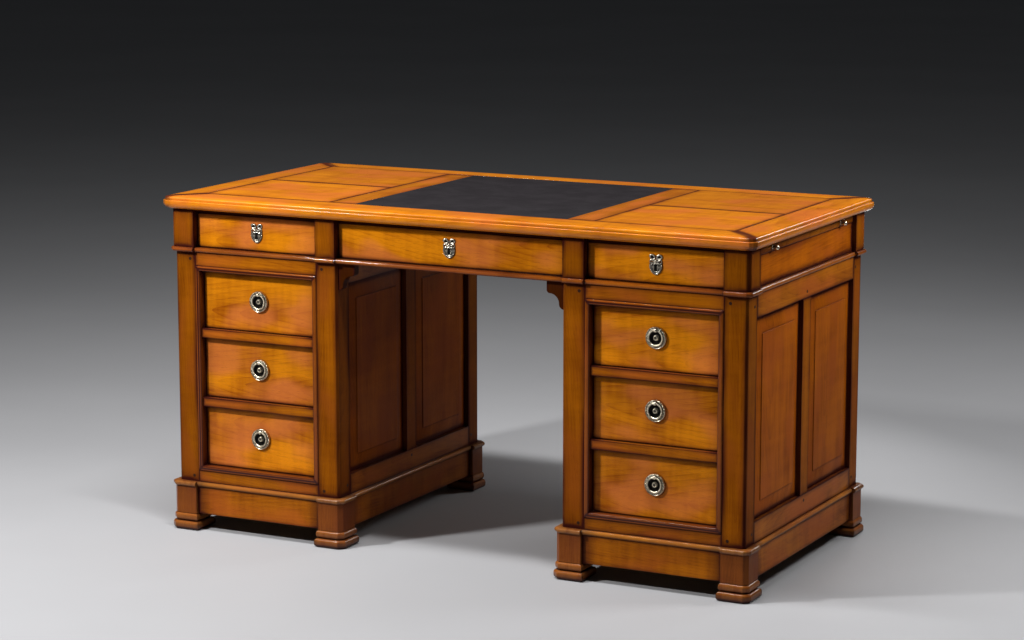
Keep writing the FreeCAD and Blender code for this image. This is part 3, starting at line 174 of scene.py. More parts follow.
class Recipe:
    """The node tree of one material while it is being written."""

    # How many rays find out whether a place lies in a corner.
    RECESS_RAYS = 6
    # The numbers of the Mix node's two colour inputs.
    UNDER_SOCKET = 6
    OVER_SOCKET = 7

    def __init__(self, name: str) -> None:
        """Start an empty material of the given name."""
        self.material = bpy.data.materials.new(name)
        self.material.use_nodes = True
        self.tree = self.material.node_tree
        self.tree.nodes.clear()

    def node(
        self,
        kind: str,
        settings: Optional[Mapping[str, Any]] = None,
        sockets: Optional[Mapping[Union[str, int], Any]] = None,
    ) -> Node:
        """Add one node.

        Args:
            kind: The node's type.
            settings: Its properties, set first.
            sockets: A value, a Term or another node's socket for each input, by name or number.

        Returns:
            The new node.
        """
        made = self.tree.nodes.new(kind)
        for name, value in (settings or {}).items():
            setattr(made, name, value)
        for name, value in (sockets or {}).items():
            if isinstance(value, Term):
                value = value.socket
            if isinstance(value, NodeSocket):
                self.tree.links.new(value, made.inputs[name])
            else:
                made.inputs[name].default_value = value
        return made

    def term(
        self,
        kind: str,
        settings: Optional[Mapping[str, Any]] = None,
        sockets: Optional[Mapping[Union[str, int], Any]] = None,
        output: Union[str, int] = 0,
    ) -> Term:
        """Add one node and wrap one of its outputs.

        Args:
            kind: The node's type.
            settings: Its properties.
            sockets: Its inputs.
            output: The output's name or number.

        Returns:
            That output as a Term.
        """
        return Term(self, self.node(kind, settings, sockets).outputs[output])

    def math(self, operation: str, *operands: Operand) -> Term:
        """Add a Math node over the operands."""
        return self.term("ShaderNodeMath", {"operation": operation}, dict(enumerate(operands)))

    def stretch(self, vector: Term, factors: Triple, shift: Term) -> Term:
        """Scale a vector along its axes and shift it."""
        sockets = {0: vector, 1: factors, 2: shift}
        return self.term("ShaderNodeVectorMath", {"operation": "MULTIPLY_ADD"}, sockets)

    def split(self, vector: Term) -> tuple[Term, Term, Term]:
        """The three parts of a vector."""
        parts = self.node("ShaderNodeSeparateXYZ", sockets={0: vector}).outputs
        return Term(self, parts[0]), Term(self, parts[1]), Term(self, parts[2])

    def joined(self, x: Operand, y: Operand, z: Operand) -> Term:
        """A vector from its three parts."""
        return self.term("ShaderNodeCombineXYZ", sockets={0: x, 1: y, 2: z})

    def attribute(self, name: str, output: str = "Vector") -> Term:
        """An attribute that the piece carries."""
        return self.term("ShaderNodeAttribute", {"attribute_name": name}, output=output)

    def noise(
        self, vector: Term, scale: float, detail: float = 2.0, roughness: float = 0.5
    ) -> Term:
        """Soft noise from 0 to 1 at the given scale."""
        sockets = {"Vector": vector, "Scale": scale, "Detail": detail, "Roughness": roughness}
        return self.term("ShaderNodeTexNoise", sockets=sockets)

    def blend(self, share: Operand, under: Any, over: Any, mode: str = "MIX") -> Term:
        """Lay one colour over another.

        Args:
            share: How much of the upper colour shows.
            under: The lower colour, a triple or a Term.
            over: The upper colour, a triple or a Term.
            mode: The way the two are mixed.

        Returns:
            The mixed colour.
        """
        settings = {"data_type": "RGBA", "blend_type": mode, "clamp_factor": True}
        sockets = {"Factor": share}
        for number, colour in ((self.UNDER_SOCKET, under), (self.OVER_SOCKET, over)):
            sockets[number] = colour if isinstance(colour, Term) else (*colour, 1.0)
        return self.term("ShaderNodeMix", settings, sockets, output=2)

    def recess(self, reach: float) -> Term:
        """How far a place lies in a corner or a hollow: 0 in the open, 1 deep inside."""
        settings = {"samples": self.RECESS_RAYS}
        sockets = {"Distance": reach}
        return 1.0 - self.term("ShaderNodeAmbientOcclusion", settings, sockets, output="AO")

    def bump(self, height: Operand, depth: float, strength: float = 1.0) -> Term:
        """A surface raised by a height from 0 to 1 times a depth."""
        sockets = {"Height": height, "Distance": depth, "Strength": strength}
        return self.term("ShaderNodeBump", sockets=sockets)

    def finish(self, **sockets: Any) -> Material:
        """Close the recipe with a Principled surface.

        Args:
            **sockets: The surface's inputs, with underscores for spaces.

        Returns:
            The finished material.
        """
        inputs = {}
        for name, value in sockets.items():
            inputs[name.replace("_", " ")] = (*value, 1.0) if isinstance(value, tuple) else value
        surface = self.node("ShaderNodeBsdfPrincipled", sockets=inputs)
        self.node("ShaderNodeOutputMaterial", sockets={"Surface": surface.outputs[0]})
        return self.material


# ---- Wood ----


class Streak(Enum):
    """The streaks in a board: waves per metre along it and across it, and finer layers."""

    FIBRE = (6.0, 330.0, 3.0)
    BAND = (2.2, 60.0, 2.0)
    CLOUD = (5.0, 17.0, 2.0)
    BLUSH = (8.0, 13.0, 1.0)
    CURL = (24.0, 5.0, 1.0)
    BAR = (62.0, 9.0, 1.0)
    PORE = (70.0, 1300.0, 1.0)
    SWAY = (1.7, 5.0, 1.0)
    RIPPLE = (6.0, 24.0, 2.0)
    RAY = (110.0, 700.0, 1.0)
    END_GRAIN = (300.0, 900.0, 2.0)


class WoodFigure:
    """The figure of each board: growth rings cut by its face, fibres, pores and soft clouds.

    The board's own axes come with the mesh: "grain" is the place on the board as along, across
    and through, "extent" is half its size, and "board" holds two seeds and how its ends meet.
    """

    # How far a board's seeds shift its streaks along, across and through.
    SEED_SHIFT: Triple = (7.3, 5.9, 3.1)
    # How steeply the wood darkens towards the end of a year's growth.
    LATEWOOD_POWER = 4.0
    # The noise at which a pore starts to open, and at which it is open.
    PORE_SPAN: Span = (0.62, 0.74)
    # How far beside the board the tree's heart may lie, and how far it sways on its way up.
    HEART_SPREAD = 0.1
    HEART_SWAY = 0.05
    # How deep under the board the heart lies at least, and how much deeper it may lie.
    HEART_DEPTH = 0.014
    HEART_DEPTH_SPREAD = 0.03
    # How far a ring ripples, and how many years apart two boards may start.
    RING_RIPPLE = 0.006
    YEAR_SPREAD = 17.0

    def __init__(self, recipe: Recipe, ring_pitch: float, taper: float) -> None:
        """Write the figure's terms.

        Args:
            recipe: The material under construction.
            ring_pitch: The width of one year's growth.
            taper: How much the rings narrow per length of board, which makes the arches.
        """
        self.recipe = recipe
        self.place = recipe.attribute("grain")
        self.along, self.across, self.through = recipe.split(self.place)
        self.half = recipe.split(recipe.attribute("extent"))
        self.seed, self.second_seed, self.mitre = recipe.split(recipe.attribute("board"))
        along, across, through = self.SEED_SHIFT
        self.shift = recipe.joined(
            self.seed * along, self.second_seed * across, self.seed * through
        )
        self.latewood = self._years(ring_pitch, taper).math("FRACT") ** self.LATEWOOD_POWER
        self.fibres = self.streaks(Streak.FIBRE)
        self.bands = self.streaks(Streak.BAND)
        self.clouds = self.streaks(Streak.CLOUD)

    def streaks(self, kind: Streak) -> Term:
        """Noise from 0 to 1, drawn out along the grain."""
        along, across, detail = kind.value
        drawn = self.recipe.stretch(self.place, (along, across, across), self.shift)
        return self.recipe.noise(drawn, 1.0, detail)

    def pores(self) -> Term:
        """The open pores: 0 between them, 1 in them."""
        return self.streaks(Streak.PORE).smooth(*self.PORE_SPAN)

    def _years(self, pitch: float, taper: float) -> Term:
        """The age of the wood at each place, counted in years of growth from the heart."""
        sway = self.streaks(Streak.SWAY) - 0.5
        ripple = self.streaks(Streak.RIPPLE) - 0.5
        sideways = self.across - (self.seed - 0.5) * self.HEART_SPREAD + sway * self.HEART_SWAY
        inwards = self.through + self.HEART_DEPTH + self.second_seed * self.HEART_DEPTH_SPREAD
        reach = (sideways * sideways + inwards * inwards) ** 0.5
        years = (reach - self.along * taper + ripple * self.RING_RIPPLE) / pitch
        return years + self.seed * self.YEAR_SPREAD

    def end_gap(self) -> Term:
        """The distance to the nearer end of the board."""
        return self.half[0] - abs(self.along)

    def edge_gap(self) -> Term:
        """The distance to the nearest edge of the face, or of the joint where ends are mitred."""
        mitred = abs(self.mitre)
        lean = self.mitre * self.across
        side = self.half[1] - abs(self.across) * (1.0 - mitred) + lean
        end = self.half[0] - abs(self.along) - mitred * self.half[1] + lean
        end = end * (1.0 - mitred * (1.0 - math.sqrt(0.5)))
        depth = self.half[2] - abs(self.through)
        smaller = side.math("MINIMUM", end)
        larger = side.math("MAXIMUM", end)
        return smaller.math("MAXIMUM", larger.math("MINIMUM", depth))


@dataclass(frozen=True)
class CherryFinish:
    """Stained and varnished cherry, with a dark patina rubbed into its corners and joints, deepened
    by painted shade in corners and deep places.

    A strength is the share that something adds to a blend, a width or reach is in metres, and a
    span gives the values at which something starts to show and at which it shows fully.
    """

    name: str
    slot: str
    pale: Colour = (0.64, 0.205, 0.004)
    deep: Colour = (0.31, 0.072, 0.002)
    blush: Colour = (0.56, 0.135, 0.022)
    # The patina's colour, which is also the colour of the painted shade.
    patina: Colour = (0.036, 0.006, 0.004)
    # The worn colour lightens arrises and rubbed mouldings: partly worn varnish, partly painted
    # highlight.
    worn: Colour = (0.82, 0.37, 0.080)
    edge_width: float = 0.009
    edge_strength: float = 0.40
    edge_least: float = 0.45
    edge_cloud: float = 0.90
    end_width: float = 0.035
    end_strength: float = 0.20
    joint_start: float = 0.0003
    joint_width: float = 0.0028
    joint_strength: float = 0.45
    # The recess terms darken corners and hollows: partly rubbed-in patina, partly painted shade.
    recess_reach: float = 0.030
    recess_span: Span = (0.16, 0.62)
    recess_strength: float = 0.85
    # Painted shade in deep places: the wood darkens towards the patina colour where much of its
    # surroundings lies within the reach, as in the kneehole.
    painted_shade_reach: float = 1.0
    painted_shade_span: Span = (0.42, 0.88)
    painted_shade_strength: float = 0.75
    ring_pitch: float = 0.0065
    ring_span: Span = (0.25, 0.60)
    ring_strength: float = 0.30
    taper: float = 0.10
    ripeness: float = 0.39
    cloud_span: Span = (0.30, 0.72)
    cloud_strength: float = 0.50
    band_strength: float = 0.60
    fibre_strength: float = 0.90
    curl_strength: float = 0.45
    bar_strength: float = 0.35
    blush_span: Span = (0.44, 0.68)
    blush_strength: float = 0.60
    pore_strength: float = 0.35
    least_tone: float = 0.86
    tone_spread: float = 0.22
    wear_and_highlight_span: Span = (0.25, 0.55)
    wear_strength: float = 0.65
    relief: float = 0.30
    relief_depth: float = 0.00012
    fibre_height: float = 0.60
    latewood_height: float = 0.50
    roughness: float = 0.26
    cloud_roughness: float = 0.07
    fibre_roughness: float = 0.08
    patina_roughness: float = 0.12
    gloss: float = 0.03
    gloss_tint: Colour = (1.0, 0.72, 0.45)
    coat: float = 0.08
    rubbed_coat: float = 0.50
    coat_roughness: float = 0.07

    def material(self) -> Material:
        """Write the material.

        Returns:
            The finished material.
        """
        recipe = Recipe(self.name)
        figure = WoodFigure(recipe, self.ring_pitch, self.taper)
        clouds = figure.clouds.smooth(*self.cloud_span)
        # Corners and hollows darken: partly rubbed-in patina, partly painted shade.
        recess = recipe.recess(self.recess_reach).smooth(*self.recess_span)
        shade = self._patina_and_shade_share(figure, clouds, recess)
        colour = recipe.blend(shade, self._clean_wood(figure, clouds), self.patina)
        # Painted shade in deep places such as the kneehole, laid over in the patina colour.
        painted_shade = recipe.recess(self.painted_shade_reach).smooth(*self.painted_shade_span) * self.painted_shade_strength
        colour = recipe.blend(painted_shade, colour, self.patina)
        # Arrises and rubbed places lighten towards the worn colour: partly worn varnish, partly
        # painted highlight.
        rubbed = recipe.attribute("arris", "Fac")
        wear = rubbed * figure.bands.smooth(*self.wear_and_highlight_span) * (1.0 - recess)
        colour = recipe.blend(wear * self.wear_strength, colour, self.worn)
        roughness = self.roughness + clouds * self.cloud_roughness
        roughness = roughness + figure.fibres * self.fibre_roughness
        height = figure.fibres * self.fibre_height - figure.pores()
        height = height - figure.latewood * self.latewood_height
        return recipe.finish(
            Base_Color=colour,
            Roughness=roughness + shade * self.patina_roughness,
            Coat_Weight=self.coat + rubbed * self.rubbed_coat,
            Coat_Roughness=self.coat_roughness,
            Specular_IOR_Level=self.gloss,
            Specular_Tint=self.gloss_tint,
            Normal=recipe.bump(height, self.relief_depth, self.relief),
        )

    def _clean_wood(self, figure: WoodFigure, clouds: Term) -> Term:
        """The colour of the varnished wood before any patina.

        Args:
            figure: The figure of the board.
            clouds: Its soft clouds, from 0 to 1.

        Returns:
            The colour.
        """
        recipe = figure.recipe
        rings = figure.latewood * self.ring_strength * figure.bands.smooth(*self.ring_span)
        depth = self.ripeness + rings + (clouds - 0.5) * self.cloud_strength
        for streaks, strength in (
            (figure.bands, self.band_strength),
            (figure.fibres, self.fibre_strength),
            (figure.streaks(Streak.CURL), self.curl_strength),
            (figure.streaks(Streak.BAR), self.bar_strength),
        ):
            depth = depth + (streaks - 0.5) * strength
        colour = recipe.blend(depth, self.pale, self.deep)
        blush = figure.streaks(Streak.BLUSH).smooth(*self.blush_span) * self.blush_strength
        colour = recipe.blend(blush, colour, self.blush)
        colour = recipe.blend(figure.pores() * self.pore_strength, colour, self.patina)
        tone = self.least_tone + figure.second_seed * self.tone_spread
        return recipe.blend(1.0, colour, recipe.joined(tone, tone, tone), "MULTIPLY")

    def _patina_and_shade_share(self, figure: WoodFigure, clouds: Term, recess: Term) -> Term:
        """How much patina lies at the board's edges, joints and ends, and how much patina and
        painted shade in its corners.

        Args:
            figure: The figure of the board.
            clouds: Its soft clouds, from 0 to 1.
            recess: How far a place lies in a corner, from 0 to 1.

        Returns:
            The share of patina and painted shade.
        """
        gap = figure.edge_gap()
        edge = 1.0 - gap.smooth(0.0, self.edge_width)
        edge = edge * (self.edge_least + clouds * self.edge_cloud)
        joint = 1.0 - gap.smooth(self.joint_start, self.joint_width)
        end = 1.0 - figure.end_gap().smooth(0.0, self.end_width)
        shade = edge * self.edge_strength + joint * self.joint_strength
        return shade + end * self.end_strength + recess * self.recess_strength


@dataclass(frozen=True)
class InnerWoodFinish:
    """Plain unvarnished beech, for what the drawers and the frieze hide."""

    name: str = "plain_beech"
    slot: str = "inner_wood"
    pale: Colour = (0.60, 0.40, 0.22)
    deep: Colour = (0.43, 0.26, 0.13)
    fleck: Colour = (0.30, 0.16, 0.08)
    ring_pitch: float = 0.004
    taper: float = 0.05
    ripeness: float = -0.10
    ring_strength: float = 0.30
    band_strength: float = 0.50
    fibre_strength: float = 0.30
    ray_span: Span = (0.60, 0.68)
    ray_strength: float = 0.60
    recess_reach: float = 0.03
    recess_span: Span = (0.20, 0.90)
    recess_strength: float = 0.45
    wear_strength: float = 0.40
    latewood_height: float = 0.60
    relief: float = 0.60
    relief_depth: float = 0.00018
    roughness: float = 0.55
    cloud_roughness: float = 0.15
    gloss: float = 0.35

    def material(self) -> Material:
        """Write the material.

        Returns:
            The finished material.
        """
        recipe = Recipe(self.name)
        figure = WoodFigure(recipe, self.ring_pitch, self.taper)
        depth = figure.latewood * self.ring_strength + figure.bands * self.band_strength
        depth = depth + figure.fibres * self.fibre_strength + self.ripeness
        colour = recipe.blend(depth, self.pale, self.deep)
        rays = figure.streaks(Streak.RAY).smooth(*self.ray_span)
        colour = recipe.blend(rays * self.ray_strength, colour, self.fleck)
        recess = recipe.recess(self.recess_reach).smooth(*self.recess_span)
        colour = recipe.blend(recess * self.recess_strength, colour, self.fleck)
        wear = recipe.attribute("arris", "Fac") * figure.clouds
        colour = recipe.blend(wear * self.wear_strength, colour, self.pale)
        height = figure.fibres - figure.latewood * self.latewood_height
        return recipe.finish(
            Base_Color=colour,
            Roughness=self.roughness + figure.clouds * self.cloud_roughness,
            Specular_IOR_Level=self.gloss,
            Normal=recipe.bump(height, self.relief_depth, self.relief),
        )


@dataclass(frozen=True)
class PegFinish:
    """Dark stained end grain of the pegs."""

    name: str = "dark_peg_end_grain"
    slot: str = "peg_wood"
    ring_colour: Colour = (0.012, 0.004, 0.002)
    wood: Colour = (0.036, 0.011, 0.004)
    ring_pitch: float = 0.0011
    ring_strength: float = 0.60
    grain_strength: float = 0.50
    relief: float = 0.60
    relief_depth: float = 0.0001
    roughness: float = 0.42
    cloud_roughness: float = 0.20
    gloss: float = 0.12

    def material(self) -> Material:
        """Write the material.

        Returns:
            The finished material.
        """
        recipe = Recipe(self.name)
        figure = WoodFigure(recipe, self.ring_pitch, 0.0)
        grain = figure.streaks(Streak.END_GRAIN) * self.grain_strength
        depth = figure.latewood * self.ring_strength + grain
        colour = recipe.blend(depth, self.wood, self.ring_colour)
        return recipe.finish(
            Base_Color=colour,
            Roughness=self.roughness + figure.clouds * self.cloud_roughness,
            Specular_IOR_Level=self.gloss,
            Normal=recipe.bump(figure.latewood, self.relief_depth, self.relief),
        )


# ---- Leather, metal and the studio floor ----


@dataclass(frozen=True)
class LeatherFinish:
    """Fine grained black leather with a satin gloss, a little rubbed in soft patches.

    A scale counts waves or pebbles per metre.
    """

    name: str = "black_desk_leather"
    slot: str = "black_leather"
    dye: Colour = (0.0130, 0.0108, 0.0122)
    rubbed: Colour = (0.0200, 0.0170, 0.0190)
    pebble_scale: float = 900.0
    pebble_strength: float = 0.25
    pebble_height: float = 0.70
    warp_scale: float = 160.0
    warp_reach: float = 0.0016
    crease_span: Span = (0.02, 0.22)
    crease_strength: float = 0.50
    hide_scale: float = 14.0
    hide_detail: float = 4.0
    hide_mix: float = 0.60
    hide_span: Span = (0.35, 0.70)
    hide_strength: float = 0.70
    wrinkle_scale: float = 90.0
    wrinkle_detail: float = 3.0
    wrinkle_height: float = 0.60
    relief: float = 0.55
    relief_depth: float = 0.00014
    roughness: float = 0.54
    hide_roughness: float = 0.08
    crease_roughness: float = 0.15
    gloss: float = 0.13

    def material(self) -> Material:
        """Write the material.

        Returns:
            The finished material.
        """
        recipe = Recipe(self.name)
        place = recipe.term("ShaderNodeTexCoord", output="Object")
        pebbles = self._pebbles(recipe, place)
        crease = 1.0 - pebbles.smooth(*self.crease_span)
        hide = recipe.noise(place, self.hide_scale, self.hide_detail, self.hide_mix)
        hide = hide.smooth(*self.hide_span)
        rubbed = hide * self.hide_strength + pebbles * self.pebble_strength
        colour = recipe.blend(rubbed, self.dye, self.rubbed)
        colour = recipe.blend(crease * self.crease_strength, colour, self.dye)
        wrinkle = recipe.noise(place, self.wrinkle_scale, self.wrinkle_detail)
        height = (1.0 - crease) * self.pebble_height + wrinkle * self.wrinkle_height
        roughness = self.roughness + hide * self.hide_roughness + crease * self.crease_roughness
        return recipe.finish(
            Base_Color=colour,
            Roughness=roughness,
            Specular_IOR_Level=self.gloss,
            Normal=recipe.bump(height, self.relief_depth, self.relief),
        )

    def _pebbles(self, recipe: Recipe, place: Term) -> Term:
        """The distance from the creases between the leather's pebbles, which are a little bent."""
        warp = recipe.noise(place, self.warp_scale)
        bend = recipe.joined(warp * self.warp_reach, warp * -self.warp_reach, 0.0)
        bent = recipe.term("ShaderNodeVectorMath", {"operation": "ADD"}, {0: place, 1: bend})
        return recipe.term(
            "ShaderNodeTexVoronoi",
            {"feature": "DISTANCE_TO_EDGE"},
            {"Vector": bent, "Scale": self.pebble_scale},
        )


@dataclass(frozen=True)
class SilverFinish:
    """Aged silver plate: bright, with dull stains, and nearly black in its hollows."""

    name: str = "aged_silver_plate"
    slot: str = "old_nickel"
    bright: Colour = (0.80, 0.71, 0.54)
    dull: Colour = (0.32, 0.27, 0.19)
    tarnish: Colour = (0.006, 0.005, 0.004)
    stain_scale: float = 260.0
    stain_detail: float = 3.0
    stain_span: Span = (0.40, 0.68)
    stain_strength: float = 0.55
    scratches: Triple = (2600.0, 2600.0, 300.0)
    hollow_reach: float = 0.0035
    hollow_span: Span = (0.30, 0.62)
    relief: float = 0.50
    relief_depth: float = 0.00005
    roughness: float = 0.20
    stain_roughness: float = 0.14
    scratch_roughness: float = 0.08
    tarnish_roughness: float = 0.35
    tarnish_dulling: float = 0.90
    gloss: float = 0.10

    def material(self) -> Material:
        """Write the material.

        Returns:
            The finished material.
        """
        recipe = Recipe(self.name)
        place = recipe.term("ShaderNodeTexCoord", output="Object")
        stain = recipe.noise(place, self.stain_scale, self.stain_detail).smooth(*self.stain_span)
        scratch = recipe.noise(recipe.stretch(place, self.scratches, place), 1.0)
        hollow = recipe.recess(self.hollow_reach).smooth(*self.hollow_span)
        colour = recipe.blend(stain * self.stain_strength, self.bright, self.dull)
        # The patina attribute darkens as well: tarnish, and painted shade and shadow on the keyhole
        # plates.
        black = (hollow + recipe.attribute("patina", "Fac")).math("MINIMUM", 1.0)
        roughness = self.roughness + stain * self.stain_roughness
        roughness = roughness + scratch * self.scratch_roughness
        return recipe.finish(
            Base_Color=recipe.blend(black, colour, self.tarnish),
            Metallic=1.0 - black * self.tarnish_dulling,
            Roughness=roughness + black * self.tarnish_roughness,
            Specular_IOR_Level=self.gloss,
            Normal=recipe.bump(scratch + stain, self.relief_depth, self.relief),
        )


@dataclass(frozen=True)
class SteelFinish:
    """Plain drawn steel of the locks."""

    name: str = "drawn_lock_steel"
    slot: str = "lock_steel"
    steel: Colour = (0.46, 0.46, 0.47)
    oil: Colour = (0.13, 0.11, 0.09)
    drawn_lines: Triple = (60.0, 60.0, 2400.0)
    drawn_detail: float = 3.0
    drawn_strength: float = 0.20
    spot_scale: float = 120.0
    spot_detail: float = 4.0
    spot_span: Span = (0.50, 0.75)
    spot_strength: float = 0.70
    relief: float = 0.60
    relief_depth: float = 0.00004
    metallic: float = 0.90
    roughness: float = 0.32
    drawn_roughness: float = 0.20

    def material(self) -> Material:
        """Write the material.

        Returns:
            The finished material.
        """
        recipe = Recipe(self.name)
        place = recipe.term("ShaderNodeTexCoord", output="Object")
        stretched = recipe.stretch(place, self.drawn_lines, place)
        drawn = recipe.noise(stretched, 1.0, self.drawn_detail)
        spots = recipe.noise(place, self.spot_scale, self.spot_detail).smooth(*self.spot_span)
        oily = spots * self.spot_strength + drawn * self.drawn_strength
        return recipe.finish(
            Base_Color=recipe.blend(oily, self.steel, self.oil),
            Metallic=self.metallic,
            Roughness=self.roughness + drawn * self.drawn_roughness,
            Normal=recipe.bump(drawn, self.relief_depth, self.relief),
        )


@dataclass(frozen=True)
class FloorFinish:
    """The pale matt floor of the studio."""

    name: str = "pale_studio_floor"
    paint: Colour = (0.36, 0.36, 0.37)
    cloud: Colour = (0.32, 0.32, 0.33)
    cloud_scale: float = 0.70
    cloud_detail: float = 4.0
    cloud_mix: float = 0.55
    cloud_span: Span = (0.30, 0.70)
    cloud_strength: float = 0.60
    grit_scale: float = 220.0
    relief: float = 0.20
    relief_depth: float = 0.0002
    roughness: float = 0.62
    grit_roughness: float = 0.08
    gloss: float = 0.25

    def material(self) -> Material:
        """Write the material.

        Returns:
            The finished material.
        """
        recipe = Recipe(self.name)
        place = recipe.term("ShaderNodeTexCoord", output="Object")
        cloud = recipe.noise(place, self.cloud_scale, self.cloud_detail, self.cloud_mix)
        cloud = cloud.smooth(*self.cloud_span)
        grit = recipe.noise(place, self.grit_scale)
        return recipe.finish(
            Base_Color=recipe.blend(cloud * self.cloud_strength, self.paint, self.cloud),
            Roughness=self.roughness + grit * self.grit_roughness,
            Specular_IOR_Level=self.gloss,
            Normal=recipe.bump(grit, self.relief_depth, self.relief),
        )


# ---- Shaping ----


def clamped(value: float) -> float:
    """A value, held between 0 and 1."""
    return min(max(value, 0.0), 1.0)


def sagitta(share: float) -> float:
    """How far a quarter circle has fallen at a share of its radius, as a share of it too."""
    return 1.0 - math.sqrt(1.0 - share * share)


def from_millimetres(points: Sequence[Point]) -> list[Point]:
    """Points given in millimetres, in metres."""
    return [(x * MM, y * MM) for x, y in points]


class Draft:
    """The points and faces of one piece while it is being shaped."""

    BEAD_ROWS = 6
    BEAD_SEGMENTS = 10

    def __init__(self) -> None:
        """Start with nothing."""
        self.points: list[Vector] = []
        self.faces: list[tuple[int, ...]] = []
        self.dark: list[float] = []

    def add(
        self,
        points: Iterable[Vector],
        faces: Iterable[Sequence[int]],
        placing: Matrix,
        dark: Optional[Shade] = None,
    ) -> None:
        """Add a form.

        Args:
            points: Its points.
            faces: Its faces, numbered from its own first point.
            placing: Where it goes.
            dark: How dark a place on the form is kept, from 0 to 1: old patina, and painted shade
                on some pieces.
        """
        first = len(self.points)
        for point in points:
            self.points.append(placing @ point)
            self.dark.append(dark(point) if dark else 0.0)
        self.faces.extend(tuple(first + index for index in face) for face in faces)

    def lathe(
        self,
        profile: Sequence[Point],
        segments: int,
        placing: Matrix,
        closed: bool = False,
        dark: Optional[Shade] = None,
    ) -> None:
        """Add a turned form.

        Args:
            profile: Radius and height of each point, from the outside of the base upwards.
            segments: How many sides the turning has.
            placing: Where it goes, with its axis along Z.
            closed: Whether the profile comes back to its start, as on a ring.
            dark: How dark a place on the form is kept: old patina, and painted shade on some
                pieces.
        """
        points = []
        for step in range(segments):
            angle = math.tau * step / segments
            points += [Vector((r * math.cos(angle), r * math.sin(angle), h)) for r, h in profile]
        count = len(profile)
        strips = count if closed else count - 1
        faces = []
        for step in range(segments):
            here = step * count
            there = (step + 1) % segments * count
            for row in range(strips):
                above = (row + 1) % count
                faces.append((here + row, there + row, there + above, here + above))
        self.add(points, faces, placing, dark)

    def bead(self, centre: Vector, radius: float, placing: Matrix, flat: float = 1.0) -> None:
        """Add a small round bead, flattened along Z by the share given."""
        rows = self.BEAD_ROWS
        arc = [math.pi * (row / rows - 0.5) for row in range(rows + 1)]
        profile = [(radius * math.cos(turn), radius * flat * math.sin(turn)) for turn in arc]
        self.lathe(profile, self.BEAD_SEGMENTS, placing @ Matrix.Translation(centre))

    def wire(
        self,
        path: Sequence[Vector],
        radii: Sequence[Point],
        placing: Matrix,
        closed: bool,
        sides: int = 12,
        dark: Optional[Shade] = None,
    ) -> None:
        """Add a bar that follows a path in the XY plane.

        Args:
            path: The points of its centre line.
            radii: Its half width in the plane and out of it, at each point.
            placing: Where it goes.
            closed: Whether the path comes back to its start.
            sides: How many sides its section has.
            dark: How dark a place on the form is kept: old patina, and painted shade on some
                pieces.
        """
        count = len(path)
        points = []
        for index, (centre, (wide, high)) in enumerate(zip(path, radii)):
            before = path[(index - 1) % count] if closed or index else centre
            after = path[(index + 1) % count] if closed or index < count - 1 else centre
            ahead = (after - before).normalized()
            across = Vector((-ahead.y, ahead.x, 0.0))
            for side in range(sides):
                angle = math.tau * side / sides
                lift = Vector((0.0, 0.0, high * math.sin(angle)))
                points.append(centre + across * wide * math.cos(angle) + lift)
        faces = []
        for index in range(count if closed else count - 1):
            here = index * sides
            there = (index + 1) % count * sides
            for side in range(sides):
                beside = (side + 1) % sides
                faces.append((here + side, here + beside, there + beside, there + side))
        if not closed:
            faces.append(tuple(range(sides)))
            faces.append(tuple((count - 1) * sides + side for side in reversed(range(sides))))
        self.add(points, faces, placing, dark)

    def piece(self, name: str) -> Object:
        """Turn the draft into a mesh object.

        Args:
            name: The piece's name.

        Returns:
            The new object, with doubled points merged and its faces turned outwards.
        """
        mesh = bpy.data.meshes.new(name)
        mesh.from_pydata(self.points, [], self.faces)
        # The patina attribute holds tarnish, and on the keyhole plates painted shade and shadow.
        mesh.attributes.new("patina", "FLOAT", "POINT").data.foreach_set("value", self.dark)
        shape = bmesh.new()
        shape.from_mesh(mesh)
        bmesh.ops.remove_doubles(shape, verts=shape.verts, dist=WELD_DISTANCE)
        bmesh.ops.recalc_face_normals(shape, faces=shape.faces)
        shape.to_mesh(mesh)
        shape.free()
        return linked(name, mesh, HARD_ANGLE)


def linked(name: str, mesh: Mesh, sharp_angle: float) -> Object:
    """Put a mesh into the scene, shaded smooth up to the given angle."""
    mesh.shade_smooth()
    mesh.set_sharp_from_angle(angle=sharp_angle)
    made = bpy.data.objects.new(name, mesh)
    bpy.context.scene.collection.objects.link(made)
    normals = made.modifiers.new("flat_faces_stay_flat", "WEIGHTED_NORMAL")
    normals.keep_sharp = True
    normals.weight = LARGE_FACE_WEIGHT
    return made


def sheet_faces(columns: int, rows: int) -> list[tuple[int, ...]]:
    """The faces of a thin sheet whose upper points are numbered row by row, then its lower ones.

    Args:
        columns: How many points each row has.
        rows: How many rows there are.

    Returns:
        The faces of both sides and of the rim.
    """
    top = columns * rows
    faces: list[tuple[int, ...]] = []
    for row in range(rows - 1):
        for column in range(columns - 1):
            corner = row * columns + column
            quad = (corner, corner + 1, corner + columns + 1, corner + columns)
            faces.append(quad)
            faces.append(tuple(top + index for index in reversed(quad)))
    rim = [*range(columns - 1), *((row + 1) * columns - 1 for row in range(rows - 1))]
    rim += [*range(top - 1, top - columns, -1)]
    rim += [row * columns for row in range(rows - 1, 0, -1)]
    for here, there in zip(rim, rim[1:] + rim[:1]):
        faces.append((there, here, top + here, top + there))
    return faces


